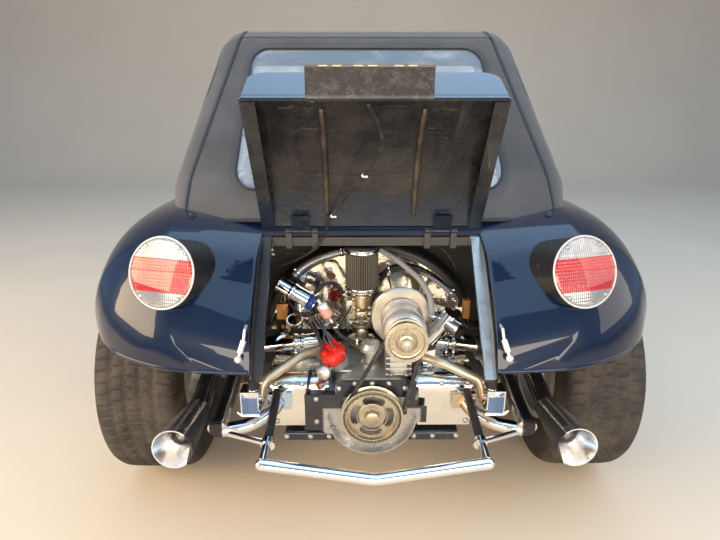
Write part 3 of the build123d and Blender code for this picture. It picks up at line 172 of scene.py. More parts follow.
class Finish:
    """A material whose constant sockets are set at once and whose varying ones are linked later."""

    def __init__(self, name, **constants):
        self.material = bpy.data.materials.new(name)
        self.material.use_nodes = True
        self.nodes = self.material.node_tree.nodes
        self.links = self.material.node_tree.links
        self.shader = self.nodes["Principled BSDF"]
        self.place = self.node("TexCoord", output="Object")
        for socket, value in constants.items():
            self.shader.inputs[socket.replace("_", " ")].default_value = value

    def node(self, kind, settings=None, inputs=None, output=0):
        """Adds a shader node: its settings first, then the values or links of its sockets."""
        made = self.nodes.new("ShaderNode" + kind)
        for name, value in (settings or {}).items():
            setattr(made, name, value)
        for name, value in (inputs or {}).items():
            if isinstance(value, Field):
                self.links.new(value.socket, made.inputs[name])
            else:
                made.inputs[name].default_value = value
        return Field(self, made.outputs[output])

    def noise(self, scale, detail, rough=0.55, stretch=None):
        """Cloudy noise from 0 to 1, with so many cells to the metre, or stretched along an axis."""
        where = self.place
        if stretch is not None:
            where = self.node("Mapping", None, {"Vector": self.place, "Scale": stretch})
        inputs = {"Vector": where, "Scale": scale, "Detail": detail, "Roughness": rough}
        return self.node("TexNoise", {"noise_dimensions": "3D"}, inputs)

    def speckle(self, scale, size):
        """Small round spots: 1 inside a spot and 0 outside."""
        cells = self.node("TexVoronoi", {"feature": "F1"}, {"Vector": self.place, "Scale": scale})
        return cells < size

    def axis(self, name):
        """One object coordinate, in metres."""
        return self.node("SeparateXYZ", None, {0: self.place}, output=name)

    def distance(self, centre, keep):
        """Distance in metres from a point, counting only the axes whose factor in keep is one."""
        offset = self.node("VectorMath", {"operation": "SUBTRACT"}, {0: self.place, 1: centre})
        flat = self.node("VectorMath", {"operation": "MULTIPLY"}, {0: offset, 1: keep})
        return self.node("VectorMath", {"operation": "LENGTH"}, {0: flat}, "Value")

    def step(self, value, low, high):
        """0 below low, 1 above high and smooth between."""
        inputs = {"Value": value, "From Min": low, "From Max": high, "To Min": 0.0, "To Max": 1.0}
        return self.node("MapRange", {"interpolation_type": "SMOOTHSTEP"}, inputs)

    def between(self, value, low, low_end, high, high_end):
        """1 between low_end and high, falling smoothly to 0 at low and at high_end."""
        return self.step(value, low, low_end) * (1 - self.step(value, high, high_end))

    def patches(self, scale, detail, rough, low, high):
        """Noise cut into soft-edged patches: 0 where it is below low and 1 where it is above high."""
        return self.step(self.noise(scale, detail, rough), low, high)

    def either(self, first, second):
        """The larger of two masks."""
        settings = {"operation": "MAXIMUM", "use_clamp": True}
        return self.node("Math", settings, {0: first, 1: second})

    def mix(self, mask, first, second):
        """The first colour where mask is 0 and the second where it is 1."""
        inputs = {0: mask, 6: rgba(first), 7: rgba(second)}
        return self.node("Mix", {"data_type": "RGBA"}, inputs, output=2)

    def bump(self, height, distance, strength=1.0):
        """A Normal that tilts as if the height, times distance in metres, stood on the surface."""
        return self.node("Bump", None, {"Height": height, "Distance": distance, "Strength": strength})

    def link(self, **fields):
        """Joins fields to the shader's sockets and returns the material."""
        for socket, field in fields.items():
            self.links.new(field.socket, self.shader.inputs[socket.replace("_", " ")])
        return self.material


def rgba(colour):
    """A colour with its alpha, or a field as it is."""
    return colour if isinstance(colour, Field) else (*colour, 1.0)


print("shader helpers ready")

# %% [markdown]
# ## The floor
# The floor is one wide sheet that turns up beyond the car, like paper on a roll, so there is no line at
# its back. It is a profile of a level run, a quarter circle and a wall, carried from left to right.

# %% Grids of faces and meshes from arrays
def grid_faces(rows, columns, close_rows=False, close_columns=False):
    """Quads between neighbours of a grid of points, numbered row by row."""
    r = np.arange(rows if close_rows else rows - 1)
    c = np.arange(columns if close_columns else columns - 1)
    r, c = (a.ravel() for a in np.meshgrid(r, c, indexing="ij"))
    r2, c2 = (r + 1) % rows, (c + 1) % columns
    return np.stack([r * columns + c, r * columns + c2, r2 * columns + c2, r2 * columns + c], axis=1)


def turns(count):
    """So many equal angles of a full turn, from 0."""
    return np.linspace(0, 2 * math.pi, count, endpoint=False)


def make_mesh(name, points, faces, material):
    """A mesh object at the origin from an array of points and a list of arrays of faces."""
    mesh = bpy.data.meshes.new(name)
    lists = [row for block in (faces if isinstance(faces, list) else [faces]) for row in block.tolist()]
    mesh.from_pydata(points.reshape(-1, 3).tolist(), [], lists)
    mesh.polygons.foreach_set("use_smooth", np.full(len(mesh.polygons), True))
    mesh.update()
    piece = bpy.data.objects.new(name, mesh)
    scene.collection.objects.link(piece)
    mesh.materials.append(material)
    return piece


def floor_paper():
    """A level run, a quarter turn and a wall, carried across in straight lines."""
    turn = np.linspace(0, math.pi / 2, 16)
    run = np.array([[-14.0, 0.0], [4.5, 0.0]])
    curve = np.stack([4.5 + 2.5 * np.sin(turn), 2.5 - 2.5 * np.cos(turn)], axis=1)
    profile = np.concatenate([run, curve[1:], [[7.0, 9.0]]])
    across = np.linspace(-14, 14, 3)
    y = np.repeat(profile[:, :1], len(across), axis=1)
    z = np.repeat(profile[:, 1:], len(across), axis=1)
    x = np.repeat(across[None, :], len(profile), axis=0)
    finish = Finish("studio_paper", Roughness=0.85)
    paper = finish.mix(finish.noise(0.9, 2), (0.60, 0.50, 0.39), (0.68, 0.58, 0.46))
    material = finish.link(Base_Color=paper)
    return make_mesh("studio_floor", np.stack([x, y, z], axis=2), grid_faces(*x.shape)[:, ::-1], material)


def studio_world():
    """Pale blue light, a little brighter where the camera sees it, mirrored or through a clear sheet."""
    world = bpy.data.worlds.new("studio")
    scene.world = world
    world.use_nodes = True
    tree = world.node_tree
    path = tree.nodes.new("ShaderNodeLightPath")
    seen = path.outputs["Is Camera Ray"]
    for ray in ("Is Glossy Ray", "Is Transmission Ray"):
        either = tree.nodes.new("ShaderNodeMath")
        either.operation = "MAXIMUM"
        tree.links.new(seen, either.inputs[0])
        tree.links.new(path.outputs[ray], either.inputs[1])
        seen = either.outputs[0]
    strength = tree.nodes.new("ShaderNodeMapRange")
    strength.inputs["To Min"].default_value = 0.50
    strength.inputs["To Max"].default_value = 0.60
    tree.links.new(seen, strength.inputs["Value"])
    background = tree.nodes["Background"]
    tree.links.new(strength.outputs[0], background.inputs["Strength"])
    background.inputs["Color"].default_value = (0.50, 0.68, 0.95, 1)


floor_paper()
studio_world()
print("floor and world ready")

# %% [markdown]
# ## Paint, bare moulding and dust
# The body is a moulding sprayed dark blue. Paint of this kind is a coloured layer below a clear one, so the
# clear coat does the mirroring. A faint orange-peel ripple breaks the reflections, and dust from the track
# lies low on the sides. The underside of the same moulding is bare: brown and grey resin with mottling.

# %% Painted and bare moulding
NAVY = (0.0014, 0.0110, 0.0430)
NAVY_DEEP = (0.0007, 0.0045, 0.0180)
DUST = (0.26, 0.19, 0.13)
RESIN_DARK = (0.018, 0.016, 0.015)
RESIN_BROWN = (0.085, 0.060, 0.036)


def body_paint():
    """Clear-coated navy, deeper in places, with ripples and a dusting that fades upwards."""
    f = Finish("body_paint", Coat_Roughness=0.02, Specular_IOR_Level=0.15)
    tone = f.mix(f.noise(2.2, 2), NAVY_DEEP, NAVY)
    low = 1 - f.step(f.axis("Z"), 0.28, 0.62)
    grains = f.patches(60, 6, 0.7, 0.48, 0.74)
    dust = low * grains * 0.42
    return f.link(
        Base_Color=f.mix(dust, tone, DUST),
        Roughness=0.30 + dust * 0.5,
        Coat_Weight=0.72 - dust * 0.6,
        Normal=f.bump(f.noise(150, 2), 0.00012),
    )


def bare_moulding():
    """Unpainted laminate: brown and near black clouds, fibres and pin holes."""
    f = Finish("bare_moulding", Roughness=0.6)
    clouds = f.patches(9, 5, 0.6, 0.40, 0.66)
    strands = f.step(f.noise(70, 4, 0.7, (1.0, 0.25, 1.0)), 0.45, 0.75)
    tone = f.mix(clouds * 0.75 + strands * 0.25, RESIN_DARK, RESIN_BROWN)
    return f.link(
        Base_Color=tone,
        Roughness=0.42 + strands * 0.3,
        Normal=f.bump(f.noise(140, 5, 0.7) + strands, 0.0008),
    )


def tub_finish():
    """Black flecked coating of the inner moulding."""
    f = Finish("tub_coating", Roughness=0.7)
    fleck = f.speckle(260, 0.22)
    tone = f.mix(fleck * 0.5 + f.noise(6, 3) * 0.2, (0.012, 0.012, 0.014), (0.07, 0.068, 0.066))
    return f.link(Base_Color=tone, Normal=f.bump(f.noise(300, 3), 0.0005))


def lid_finish():
    """Paint on the outer side, and on the inner side bare laminate that was sprayed navy near its hinge."""
    f = Finish("lid_moulding", Coat_Roughness=0.03, Specular_IOR_Level=0.35)
    facing = f.node("TexCoord", output="Normal")
    inward = (0.0, -math.sin(LID_TILT), math.cos(LID_TILT))
    inner = f.node("VectorMath", {"operation": "DOT_PRODUCT"}, {0: facing, 1: inward}, "Value")
    bare = f.step(inner, 0.0, 0.06)
    clouds = f.patches(7, 6, 0.65, 0.38, 0.70)
    strands = f.step(f.noise(60, 5, 0.75, (1.0, 0.3, 1.0)), 0.42, 0.72)
    laminate = f.mix(clouds * 0.8 + strands * 0.3, (0.0045, 0.0060, 0.0085), (0.034, 0.030, 0.027))
    sprayed = 1 - f.step(f.axis("Z") + f.noise(9, 4) * 0.06, HINGE[2] + 0.09, HINGE[2] + 0.16)
    inside = f.mix(sprayed * 0.75, laminate, (0.003, 0.012, 0.032))
    lid_end = 0.4035
    edge = (HINGE[1] + lid_end * math.cos(LID_TILT), HINGE[2] + lid_end * math.sin(LID_TILT))
    bracket = f.step(f.axis("Z"), edge[1] + 0.007, edge[1] + 0.008)
    bracket = bracket * (1 - f.step(f.axis("Y"), edge[0] + 0.0080, edge[0] + 0.0085))
    outside = f.mix(f.noise(2.2, 2), NAVY_DEEP, NAVY)
    return f.link(
        Base_Color=f.mix(bracket, f.mix(bare, outside, inside), (0.010, 0.009, 0.009)),
        Roughness=0.24 + bare * (0.04 + strands * 0.22),
        Coat_Weight=(1 - bare * 0.72) * (1 - bracket * 0.8),
        Normal=f.bump((f.noise(140, 5, 0.7) + strands) * bare + f.noise(9, 3) * bare * 4.0, 0.0009),
    )


PAINT = body_paint()
LID_FINISH = lid_finish()
RESIN = bare_moulding()
TUB = tub_finish()
print("moulding finishes ready")

# %% [markdown]
# ## Metals
# Four kinds of metal are open to view. Chrome is nearly a mirror, and what gives it away as real is haze:
# finger marks, pits and a little road film. Cast alloy is rough and grey with oil in patches. Plain
# steel tube is drawn, so its scratches run along it. Iron that gets hot goes brown.

# %% Chrome, castings, steel and hot iron
def chrome(name="chrome", tint=(0.80, 0.81, 0.83), haze=0.16, film=0.25):
    """Bright plate with hazy patches, fine pits and a thin brown film."""
    f = Finish(name, Metallic=1.0)
    patches = f.patches(14, 5, 0.65, 0.45, 0.8)
    marks = f.patches(160, 3, 0.7, 0.55, 0.8)
    return f.link(
        Base_Color=f.mix(patches * film, tint, (0.42, 0.33, 0.24)),
        Roughness=0.05 + patches * haze + marks * 0.08,
        Normal=f.bump(f.noise(500, 2), 0.00005),
    )


def cast_alloy(name="cast_alloy", tone=(0.46, 0.455, 0.44), grime=0.45, rough=0.42):
    """Sand-cast surface: grains, stains and darker oil in patches."""
    f = Finish(name, Metallic=0.85)
    oil = f.patches(18, 5, 0.65, 0.42, 0.72)
    grain = f.noise(420, 4, 0.65)
    return f.link(
        Base_Color=f.mix(oil * grime, tone, (0.085, 0.065, 0.045)),
        Roughness=rough + oil * 0.22 + grain * 0.1,
        Normal=f.bump(grain, 0.0005),
    )


def chassis_black(name="chassis_black", dust=0.5, shine=0.42):
    """Brushed-on black over steel, dusty and chipped to bare metal at a few spots."""
    f = Finish(name, Roughness=shine)
    film = f.patches(24, 5, 0.7, 0.42, 0.75) * dust
    chips = f.patches(120, 3, 0.7, 0.72, 0.76)
    black = f.mix(film, (0.013, 0.013, 0.014), (0.115, 0.085, 0.062))
    return f.link(
        Base_Color=f.mix(chips * 0.6, black, (0.22, 0.12, 0.07)),
        Roughness=shine + film * 0.4,
        Normal=f.bump(f.noise(200, 4) - chips, 0.0004),
    )


def drawn_steel(name="drawn_steel", tone=(0.42, 0.41, 0.40)):
    """Plain tube with stretched scratches and a light brown bloom."""
    f = Finish(name, Metallic=1.0)
    lines = f.noise(300, 3, 0.6, (0.15, 1.0, 1.0))
    bloom = f.patches(20, 5, 0.55, 0.5, 0.8)
    return f.link(
        Base_Color=f.mix(bloom * 0.4, tone, (0.20, 0.13, 0.08)),
        Roughness=0.26 + lines * 0.18 + bloom * 0.2,
        Normal=f.bump(lines, 0.0002),
    )


def hot_iron():
    """Sandblasted pipe that has been hot: beige at the cool end, rusty near the head."""
    f = Finish("hot_iron", Metallic=0.75)
    near_head = 1 - f.step(f.axis("Z"), 0.415, 0.485)
    rust = f.step(f.noise(70, 5, 0.7) + near_head * 0.35, 0.55, 0.95)
    cool = f.mix(f.noise(30, 4), (0.46, 0.37, 0.25), (0.66, 0.56, 0.42))
    return f.link(
        Base_Color=f.mix(rust, cool, (0.46, 0.20, 0.07)),
        Roughness=0.28 + rust * 0.3,
        Normal=f.bump(f.noise(380, 4, 0.7), 0.0005),
    )


def tin_chrome():
    """Plated pressings round the cylinders: chrome with a cream film in patches."""
    f = Finish("tin_chrome", Metallic=1.0)
    film = f.patches(10, 5, 0.6, 0.40, 0.72)
    return f.link(
        Base_Color=f.mix(film * 0.6, (0.76, 0.74, 0.70), (0.52, 0.42, 0.30)),
        Roughness=0.09 + film * 0.16 + f.noise(90, 3) * 0.06,
        Normal=f.bump(f.noise(26, 3), 0.0016),
    )


def navy_tin():
    """Painted tin: navy black on the left, bare grey white on the middle guard, black on the low trays."""
    f = Finish("tin_navy", Coat_Weight=0.4, Coat_Roughness=0.12)
    low = 1 - f.step(f.axis("Z"), 0.305, 0.315)
    middle = 1 - f.step(abs(f.axis("X")), 0.128, 0.136)
    behind = 1 - f.step(f.axis("Y"), PULLEY_Y + 0.030, PULLEY_Y + 0.045)
    below = 1 - f.step(f.axis("Z"), 0.386, 0.392)
    guard = middle * behind * below * (1 - low * f.step(abs(f.axis("X")), 0.09, 0.10))
    film = f.patches(22, 5, 0.7, 0.42, 0.75)
    bare = f.mix(film * 0.45, (0.46, 0.46, 0.45), (0.20, 0.15, 0.10))
    painted = f.mix(film * 0.5, (0.006, 0.009, 0.018), (0.05, 0.042, 0.034))
    return f.link(
        Base_Color=f.mix(guard, painted, bare),
        Metallic=guard * 0.9,
        Roughness=0.26 + film * 0.25,
        Normal=f.bump(f.noise(60, 4), 0.0007),
    )


def exhaust_finish():
    """Blued headers, a black collector with bright rings, glossy black pipes and chrome outlets."""
    f = Finish("exhaust_plate", Metallic=1.0)
    y = f.axis("Y")
    x = abs(f.axis("X"))
    header = 1 - f.step(x, 0.385, 0.392)
    collector = (1 - header) * (1 - f.step(x, 0.4235, 0.4240))
    outlet = 1 - f.step(y, REAR_Y - 0.4475, REAR_Y - 0.4470)
    pipe = (1 - header) * (1 - outlet) * f.step(x, 0.4235, 0.4240)
    heat = f.step(f.noise(16, 4) * 0.5 + (1 - f.step(x, 0.26, 0.37)) * 0.6, 0.35, 0.95)
    tint = f.mix(f.step(f.axis("X"), -0.01, 0.01), (0.40, 0.52, 0.66), (0.50, 0.36, 0.22))
    blued = f.mix(heat * 0.8, (0.74, 0.73, 0.72), tint)
    black = f.mix(f.patches(40, 5, 0.55, 0.5, 0.8) * 0.3, (0.010, 0.010, 0.012), (0.09, 0.07, 0.05))
    film = f.patches(20, 5, 0.65, 0.45, 0.8)
    plate = f.mix(film * 0.3, (0.88, 0.88, 0.89), (0.52, 0.44, 0.36))
    tone = f.mix(header, plate, blued)
    dark = f.either(collector, pipe)
    return f.link(
        Base_Color=f.mix(dark, tone, black),
        Metallic=1 - dark * 0.9,
        Roughness=0.08 + film * 0.14 + collector * 0.3 + outlet * 0.13,
        Normal=f.bump(f.noise(300, 3), 0.0002),
    )


def filter_finish():
    """Pleated black gauze between a rubber cap and a rubber foot, each held by a bright band."""
    f = Finish("filter_pleats")
    z = f.axis("Z")
    bands = f.between(z, 0.7745, 0.7750, 0.7815, 0.7820) + f.between(z, 0.6540, 0.6545, 0.6610, 0.6615)
    dusty = f.patches(50, 5, 0.7, 0.5, 0.8)
    black = f.mix(dusty * 0.5, (0.012, 0.012, 0.013), (0.10, 0.085, 0.07))
    return f.link(
        Base_Color=f.mix(bands, black, (0.60, 0.59, 0.57)),
        Metallic=bands,
        Roughness=0.62 - bands * 0.4,
        Normal=f.bump(f.noise(500, 2), 0.0004),
    )


def shroud_finish():
    """Polished face, a black band round the arch and a pale cast boss behind the alternator."""
    f = Finish("shroud_finish")
    rim = f.step(f.distance((0.0, 0.0, 0.431), (1.0, 0.0, 1.0)), 0.3185, 0.3200)
    near = f.distance((float(ALTERNATOR[0]), 0.0, float(ALTERNATOR[2])), (1.0, 0.0, 1.0))
    boss = (1 - f.step(near, 0.0885, 0.0895)) * (1 - f.step(f.axis("Y"), REAR_Y - 0.108, REAR_Y - 0.107))
    film = f.patches(11, 5, 0.65, 0.42, 0.78)
    marks = f.patches(120, 3, 0.7, 0.55, 0.8)
    polished = f.mix(film * 0.5, (0.80, 0.75, 0.66), (0.50, 0.38, 0.25))
    cast = f.mix(film * 0.4, (0.66, 0.61, 0.52), (0.34, 0.27, 0.19))
    tone = f.mix(boss, polished, cast)
    return f.link(
        Base_Color=f.mix(rim, tone, (0.013, 0.013, 0.014)),
        Metallic=1 - rim * 0.95,
        Roughness=0.07 + film * 0.12 + marks * 0.08 + boss * 0.22 + rim * 0.4,
        Normal=f.bump(f.noise(24, 3) + f.noise(300, 3) * boss * 0.2, 0.0010),
    )


def split_by_x(name, edges, tones, shine):
    """Vertical zones in one piece: each tone holds from its edge rightwards; shine is (metallic, rough)."""
    f = Finish(name)
    film = f.patches(26, 5, 0.7, 0.42, 0.75)
    colour, metal, rough = tones[0], film * 0 + shine[0][0], film * 0 + shine[0][1]
    for edge, tone, (m, r) in zip(edges, tones[1:], shine[1:]):
        mask = f.step(f.axis("X"), edge - 0.0003, edge + 0.0003)
        colour = f.mix(mask, colour, tone)
        metal = metal * (1 - mask) + mask * m
        rough = rough * (1 - mask) + mask * r
    return f.link(
        Base_Color=f.mix(film * 0.3, colour, (0.10, 0.08, 0.06)),
        Metallic=metal,
        Roughness=rough + film * 0.12,
        Normal=f.bump(f.noise(200, 4), 0.0004),
    )


def distributor_finish():
    """Red cap above and cast body below, parted by a plane square to the leaning axis."""
    f = Finish("distributor_finish")
    axis = tuple(DISTRIBUTOR_AXIS)
    height = f.node("VectorMath", {"operation": "DOT_PRODUCT"}, {0: f.place, 1: axis}, "Value")
    foot = float(DISTRIBUTOR_AXIS @ DISTRIBUTOR_FOOT)
    cap = f.step(height, foot + 0.0438, foot + 0.0444)
    stain = f.patches(60, 5, 0.65, 0.45, 0.8)
    cast = f.mix(stain * 0.4, (0.52, 0.50, 0.47), (0.16, 0.12, 0.09))
    return f.link(
        Base_Color=f.mix(cap, cast, (0.62, 0.022, 0.012)),
        Metallic=0.85 - cap * 0.85,
        Roughness=0.34 - cap * 0.08 + stain * 0.1,
        Normal=f.bump(f.noise(300, 4), 0.0003),
    )


def carburettor_finish():
    """Brassy zinc for the body, pale alloy for the pump and pink and white for the fuel filter."""
    f = Finish("carburettor_finish")
    filter_side = 1 - f.step(f.axis("X"), -0.0955, -0.0945)
    pump = (1 - f.step(f.axis("Y"), REAR_Y - 0.2505, REAR_Y - 0.2495)) * (1 - filter_side)
    z = f.axis("Z")
    pink = f.between(z, 0.603, 0.605, 0.636, 0.638)
    grime = f.patches(38, 5, 0.7, 0.42, 0.75)
    body = f.mix(grime * 0.7, (0.52, 0.44, 0.28), (0.10, 0.075, 0.05))
    alloy = f.mix(grime * 0.5, (0.58, 0.57, 0.55), (0.16, 0.13, 0.10))
    clear = f.mix(pink, (0.70, 0.68, 0.64), (0.72, 0.30, 0.24))
    return f.link(
        Base_Color=f.mix(filter_side, f.mix(pump, body, alloy), clear),
        Metallic=0.85 - filter_side * 0.85,
        Roughness=0.30 + grime * 0.2 - filter_side * 0.1,
        Normal=f.bump(f.noise(260, 4, 0.65), 0.0005),
    )


def bumper_finish():
    """Chrome, with black arms above their rings and black legs over the boxes."""
    f = Finish("bumper_finish")
    x, y, z = abs(f.axis("X")), f.axis("Y"), f.axis("Z")
    arm = (1 - f.step(x, 0.2672, 0.2676)) * f.step(y, REAR_Y - 0.5525, REAR_Y - 0.5520)
    leg = f.step(z, 0.4890, 0.4895)
    dark = f.either(arm, leg)
    film = f.patches(16, 5, 0.65, 0.45, 0.8)
    plate = f.mix(film * 0.25, (0.82, 0.83, 0.85), (0.42, 0.33, 0.24))
    return f.link(
        Base_Color=f.mix(dark, plate, f.mix(film * 0.4, (0.012, 0.012, 0.013), (0.09, 0.07, 0.05))),
        Metallic=1 - dark * 0.95,
        Roughness=0.05 + film * 0.12 + dark * 0.25,
        Normal=f.bump(f.noise(400, 2), 0.00005),
    )


def hose_finish():
    """Braided steel at the upper left, grey cloth on the right and black rubber elsewhere."""
    f = Finish("bay_hoses")
    y, x = f.axis("Y"), f.axis("X")
    braid = f.step(y, REAR_Y - 0.1345, REAR_Y - 0.1340) * (1 - f.step(x, -0.060, -0.059))
    cloth = (1 - f.step(y, REAR_Y - 0.1318, REAR_Y - 0.1312)) * f.step(x, 0.0, 0.001)
    warp = f.node("TexWave", {"bands_direction": "DIAGONAL"}, {"Vector": f.place, "Scale": 190.0})
    specks = f.speckle(210, 0.3)
    metal = f.mix(specks, f.mix(warp, (0.22, 0.22, 0.23), (0.66, 0.66, 0.67)), (0.03, 0.03, 0.035))
    woven = f.mix(f.noise(260, 3) * 0.5 + warp * 0.4, (0.14, 0.15, 0.16), (0.42, 0.43, 0.44))
    dry = f.patches(45, 5, 0.65, 0.45, 0.8)
    plain = f.mix(dry * 0.35, (0.012, 0.012, 0.013), (0.10, 0.095, 0.09))
    return f.link(
        Base_Color=f.mix(cloth, f.mix(braid, plain, metal), woven),
        Metallic=braid * 0.8,
        Roughness=0.42 - braid * 0.08 + cloth * 0.3,
        Normal=f.bump(warp * 0.6 + f.noise(400, 3) * 0.4, 0.0006),
    )


CHROME = chrome()
SHROUD = shroud_finish()
DISTRIBUTOR = distributor_finish()
CARBURETTOR = carburettor_finish()
BUMPER = bumper_finish()
BAY_HOSES = hose_finish()
BLACK_RAIL = (0.013, 0.013, 0.014)
BAY_RAILS = split_by_x(
    "bay_rails",
    (-0.3015, 0.2725, 0.2962, 0.3015),
    ((0.70, 0.69, 0.66), BLACK_RAIL, (0.42, 0.41, 0.39), BLACK_RAIL, (0.70, 0.69, 0.66)),
    ((0.5, 0.3), (0.0, 0.4), (1.0, 0.3), (0.0, 0.4), (0.5, 0.3)),
)
TIN_CHROME = tin_chrome()
NAVY_TIN = navy_tin()
EXHAUST_FINISH = exhaust_finish()
FILTER_FINISH = filter_finish()
PULLEY_ALLOY = cast_alloy("pulley_alloy", (0.50, 0.44, 0.33), 0.2, 0.2)
SHEET_CHROME = chrome("sheet_chrome", (0.78, 0.77, 0.75), 0.2, 0.35)
ALLOY = cast_alloy()
PALE_ALLOY = cast_alloy("pale_alloy", (0.62, 0.61, 0.59), 0.25, 0.34)
CHASSIS = chassis_black()
SATIN_BLACK = chassis_black("satin_black", 0.15, 0.3)
STEEL = drawn_steel()
HOT_IRON = hot_iron()
print("metal finishes ready")

# %% [markdown]
# ## Rubber, plastic and clear sheet
# Belts and tapes are dull black that greys in patches. Small mouldings have one colour with faint wear. The
# windscreen is nearly clear, and the windows of the top are a hazy sheet whose waves bend what it mirrors.

# %% Rubbers, plastics and lenses
def rubber(name, tone, bloom):
    """Matt black with a grey bloom."""
    f = Finish(name, Roughness=0.55)
    dry = f.patches(45, 5, 0.65, 0.45, 0.8)
    return f.link(
        Base_Color=f.mix(dry * bloom, tone, (0.10, 0.095, 0.09)),
        Roughness=0.42 + dry * 0.3,
        Normal=f.bump(f.noise(400, 3), 0.0003),
    )


def moulded_plastic(name, tone, worn, rough=0.32):
    """Smooth moulding with faint wear."""
    f = Finish(name)
    wear = f.patches(55, 5, 0.65, 0.5, 0.85)
    return f.link(
        Base_Color=f.mix(wear * 0.5, tone, worn),
        Roughness=rough + wear * 0.25,
        Normal=f.bump(f.noise(240, 3), 0.00025),
    )


def clear_sheet(name, tint, alpha, waves, rough=0.08):
    """Flexible or flat clear sheet whose waviness bends what it mirrors."""
    f = Finish(name, Roughness=rough, IOR=1.45)
    haze = f.patches(7, 5, 0.6, 0.45, 0.85)
    return f.link(
        Base_Color=f.mix(haze, tint, (0.80, 0.83, 0.86)),
        Alpha=alpha + haze * 0.16,
        Roughness=rough + haze * 0.22,
        Normal=f.bump(f.noise(5.5, 3, 0.5) + f.noise(18, 2) * 0.3, waves),
    )


def lead_finish():
    """Ignition leads: black and grey silicone with a dull shine."""
    f = Finish("lead_jacket")
    tint = f.patches(3.5, 1, 0.55, 0.45, 0.55)
    return f.link(
        Base_Color=f.mix(tint, (0.012, 0.012, 0.014), (0.10, 0.11, 0.14)),
        Roughness=0.30 + f.noise(60, 3) * 0.2,
        Normal=f.bump(f.noise(300, 3), 0.0002),
    )


LEAD_FINISH = lead_finish()
BELT = rubber("belt_rubber", (0.010, 0.010, 0.011), 0.55)
RED_CAP = moulded_plastic("red_cap", (0.50, 0.028, 0.014), (0.62, 0.09, 0.05), 0.26)
BLACK_PLASTIC = moulded_plastic("black_plastic", (0.014, 0.014, 0.015), (0.06, 0.06, 0.06))
GRAINED = moulded_plastic("grained_panel", (0.018, 0.018, 0.019), (0.05, 0.048, 0.046), 0.5)
SCREEN = clear_sheet("screen_glass", (0.62, 0.72, 0.70), 0.20, 0.0002, 0.02)
VINYL = clear_sheet("window_vinyl", (0.42, 0.52, 0.62), 0.34, 0.006)
print("soft and clear finishes ready")

# %% [markdown]
# ## Shapes from profiles and paths
# Most parts of a car are either turned on a lathe or bent from tube. Both are a profile carried round or
# along something, worked out as whole arrays. A third helper packs many copies of a small shape, such as
# a bolt head, into one mesh.

# %% Lathe, tube and copies
def unit(vectors):
    """Vectors scaled to length one, along the last axis."""
    vectors = np.asarray(vectors, float)
    return vectors / np.maximum(np.linalg.norm(vectors, axis=-1, keepdims=True), 1e-12)


def frame_about(axis):
    """Two unit directions square to an axis and to each other."""
    axis = unit(axis)
    helper = np.array([0.0, 0.0, 1.0]) if abs(axis[2]) < 0.9 else np.array([1.0, 0.0, 0.0])
    side = unit(np.cross(helper, axis))
    return side, np.cross(axis, side)


def circle(angle, side, up):
    """For each angle, cos times one direction plus sin times the other."""
    return np.cos(angle)[:, None] * side + np.sin(angle)[:, None] * up


def lathe(profile, centre, axis, segments):
    """Each (radius, distance) of the profile swept round the axis: centre + axis d + r (cos, sin)."""
    radius, along = np.asarray(profile, float).T
    axis = unit(axis)
    side, up = frame_about(axis)
    ring = circle(turns(segments), side, up)
    points = np.asarray(centre) + along[:, None, None] * axis + radius[:, None, None] * ring
    return points.reshape(-1, 3), grid_faces(len(radius), segments, close_columns=True)


def smooth_path(points, count):
    """A uniform cubic B-spline through the ends and near the points between, at equal steps."""
    p = np.asarray(points, float)
    p = np.concatenate([2 * p[:1] - p[1:2], p, 2 * p[-1:] - p[-2:-1]])
    t = np.linspace(0, len(p) - 3, count)
    k = np.minimum(t.astype(int), len(p) - 4)
    u = (t - k)[:, None]
    weights = [(1 - u) ** 3, 3 * u**3 - 6 * u**2 + 4, -3 * u**3 + 3 * u**2 + 3 * u + 1, u**3]
    return sum(w * p[k + i] for i, w in enumerate(weights)) / 6


def tube(path, radius, sides, up=(0.0, 0.0, 1.0)):
    """A circle carried along a path, with closed ends: radius times two directions square to the run."""
    path = np.asarray(path, float)
    run = unit(np.gradient(path, axis=0))
    side = unit(np.cross(run, up))
    over = np.cross(side, run)
    size = np.broadcast_to(np.asarray(radius, float), (len(path),))[:, None, None]
    ring = circle(turns(sides), side[:, None], over[:, None])
    points = (path[:, None] + size * ring).reshape(-1, 3)
    first = np.arange(sides)[None, ::-1]
    last = first[:, ::-1] + (len(path) - 1) * sides
    return points, [grid_faces(len(path), sides, close_columns=True), first, last]


def rounded_box(centre, size, radius, turn=0.0, steps=4):
    """A box with round edges: a sphere's points, each pushed out to its own corner of the box."""
    lat = np.linspace(-math.pi / 2, math.pi / 2, 2 * steps)
    lon = (np.arange(4 * steps) + 0.5) * math.pi / (2 * steps)
    lat, lon = np.meshgrid(lat, lon, indexing="ij")
    ball = np.stack([np.cos(lat) * np.cos(lon), np.cos(lat) * np.sin(lon), np.sin(lat)], axis=2)
    corner = np.stack([np.sign(np.cos(lon)), np.sign(np.sin(lon)), np.sign(lat)], axis=2)
    corner[:, :, 2] = np.where(lat > 0, 1, -1)
    half = np.asarray(size) / 2 - radius
    points = (ball * radius + corner * half).reshape(-1, 3)
    c, s = math.cos(turn), math.sin(turn)
    spin = np.array([[1, 0, 0], [0, c, -s], [0, s, c]])
    return points @ spin.T + np.asarray(centre), grid_faces(2 * steps, 4 * steps, close_columns=True)


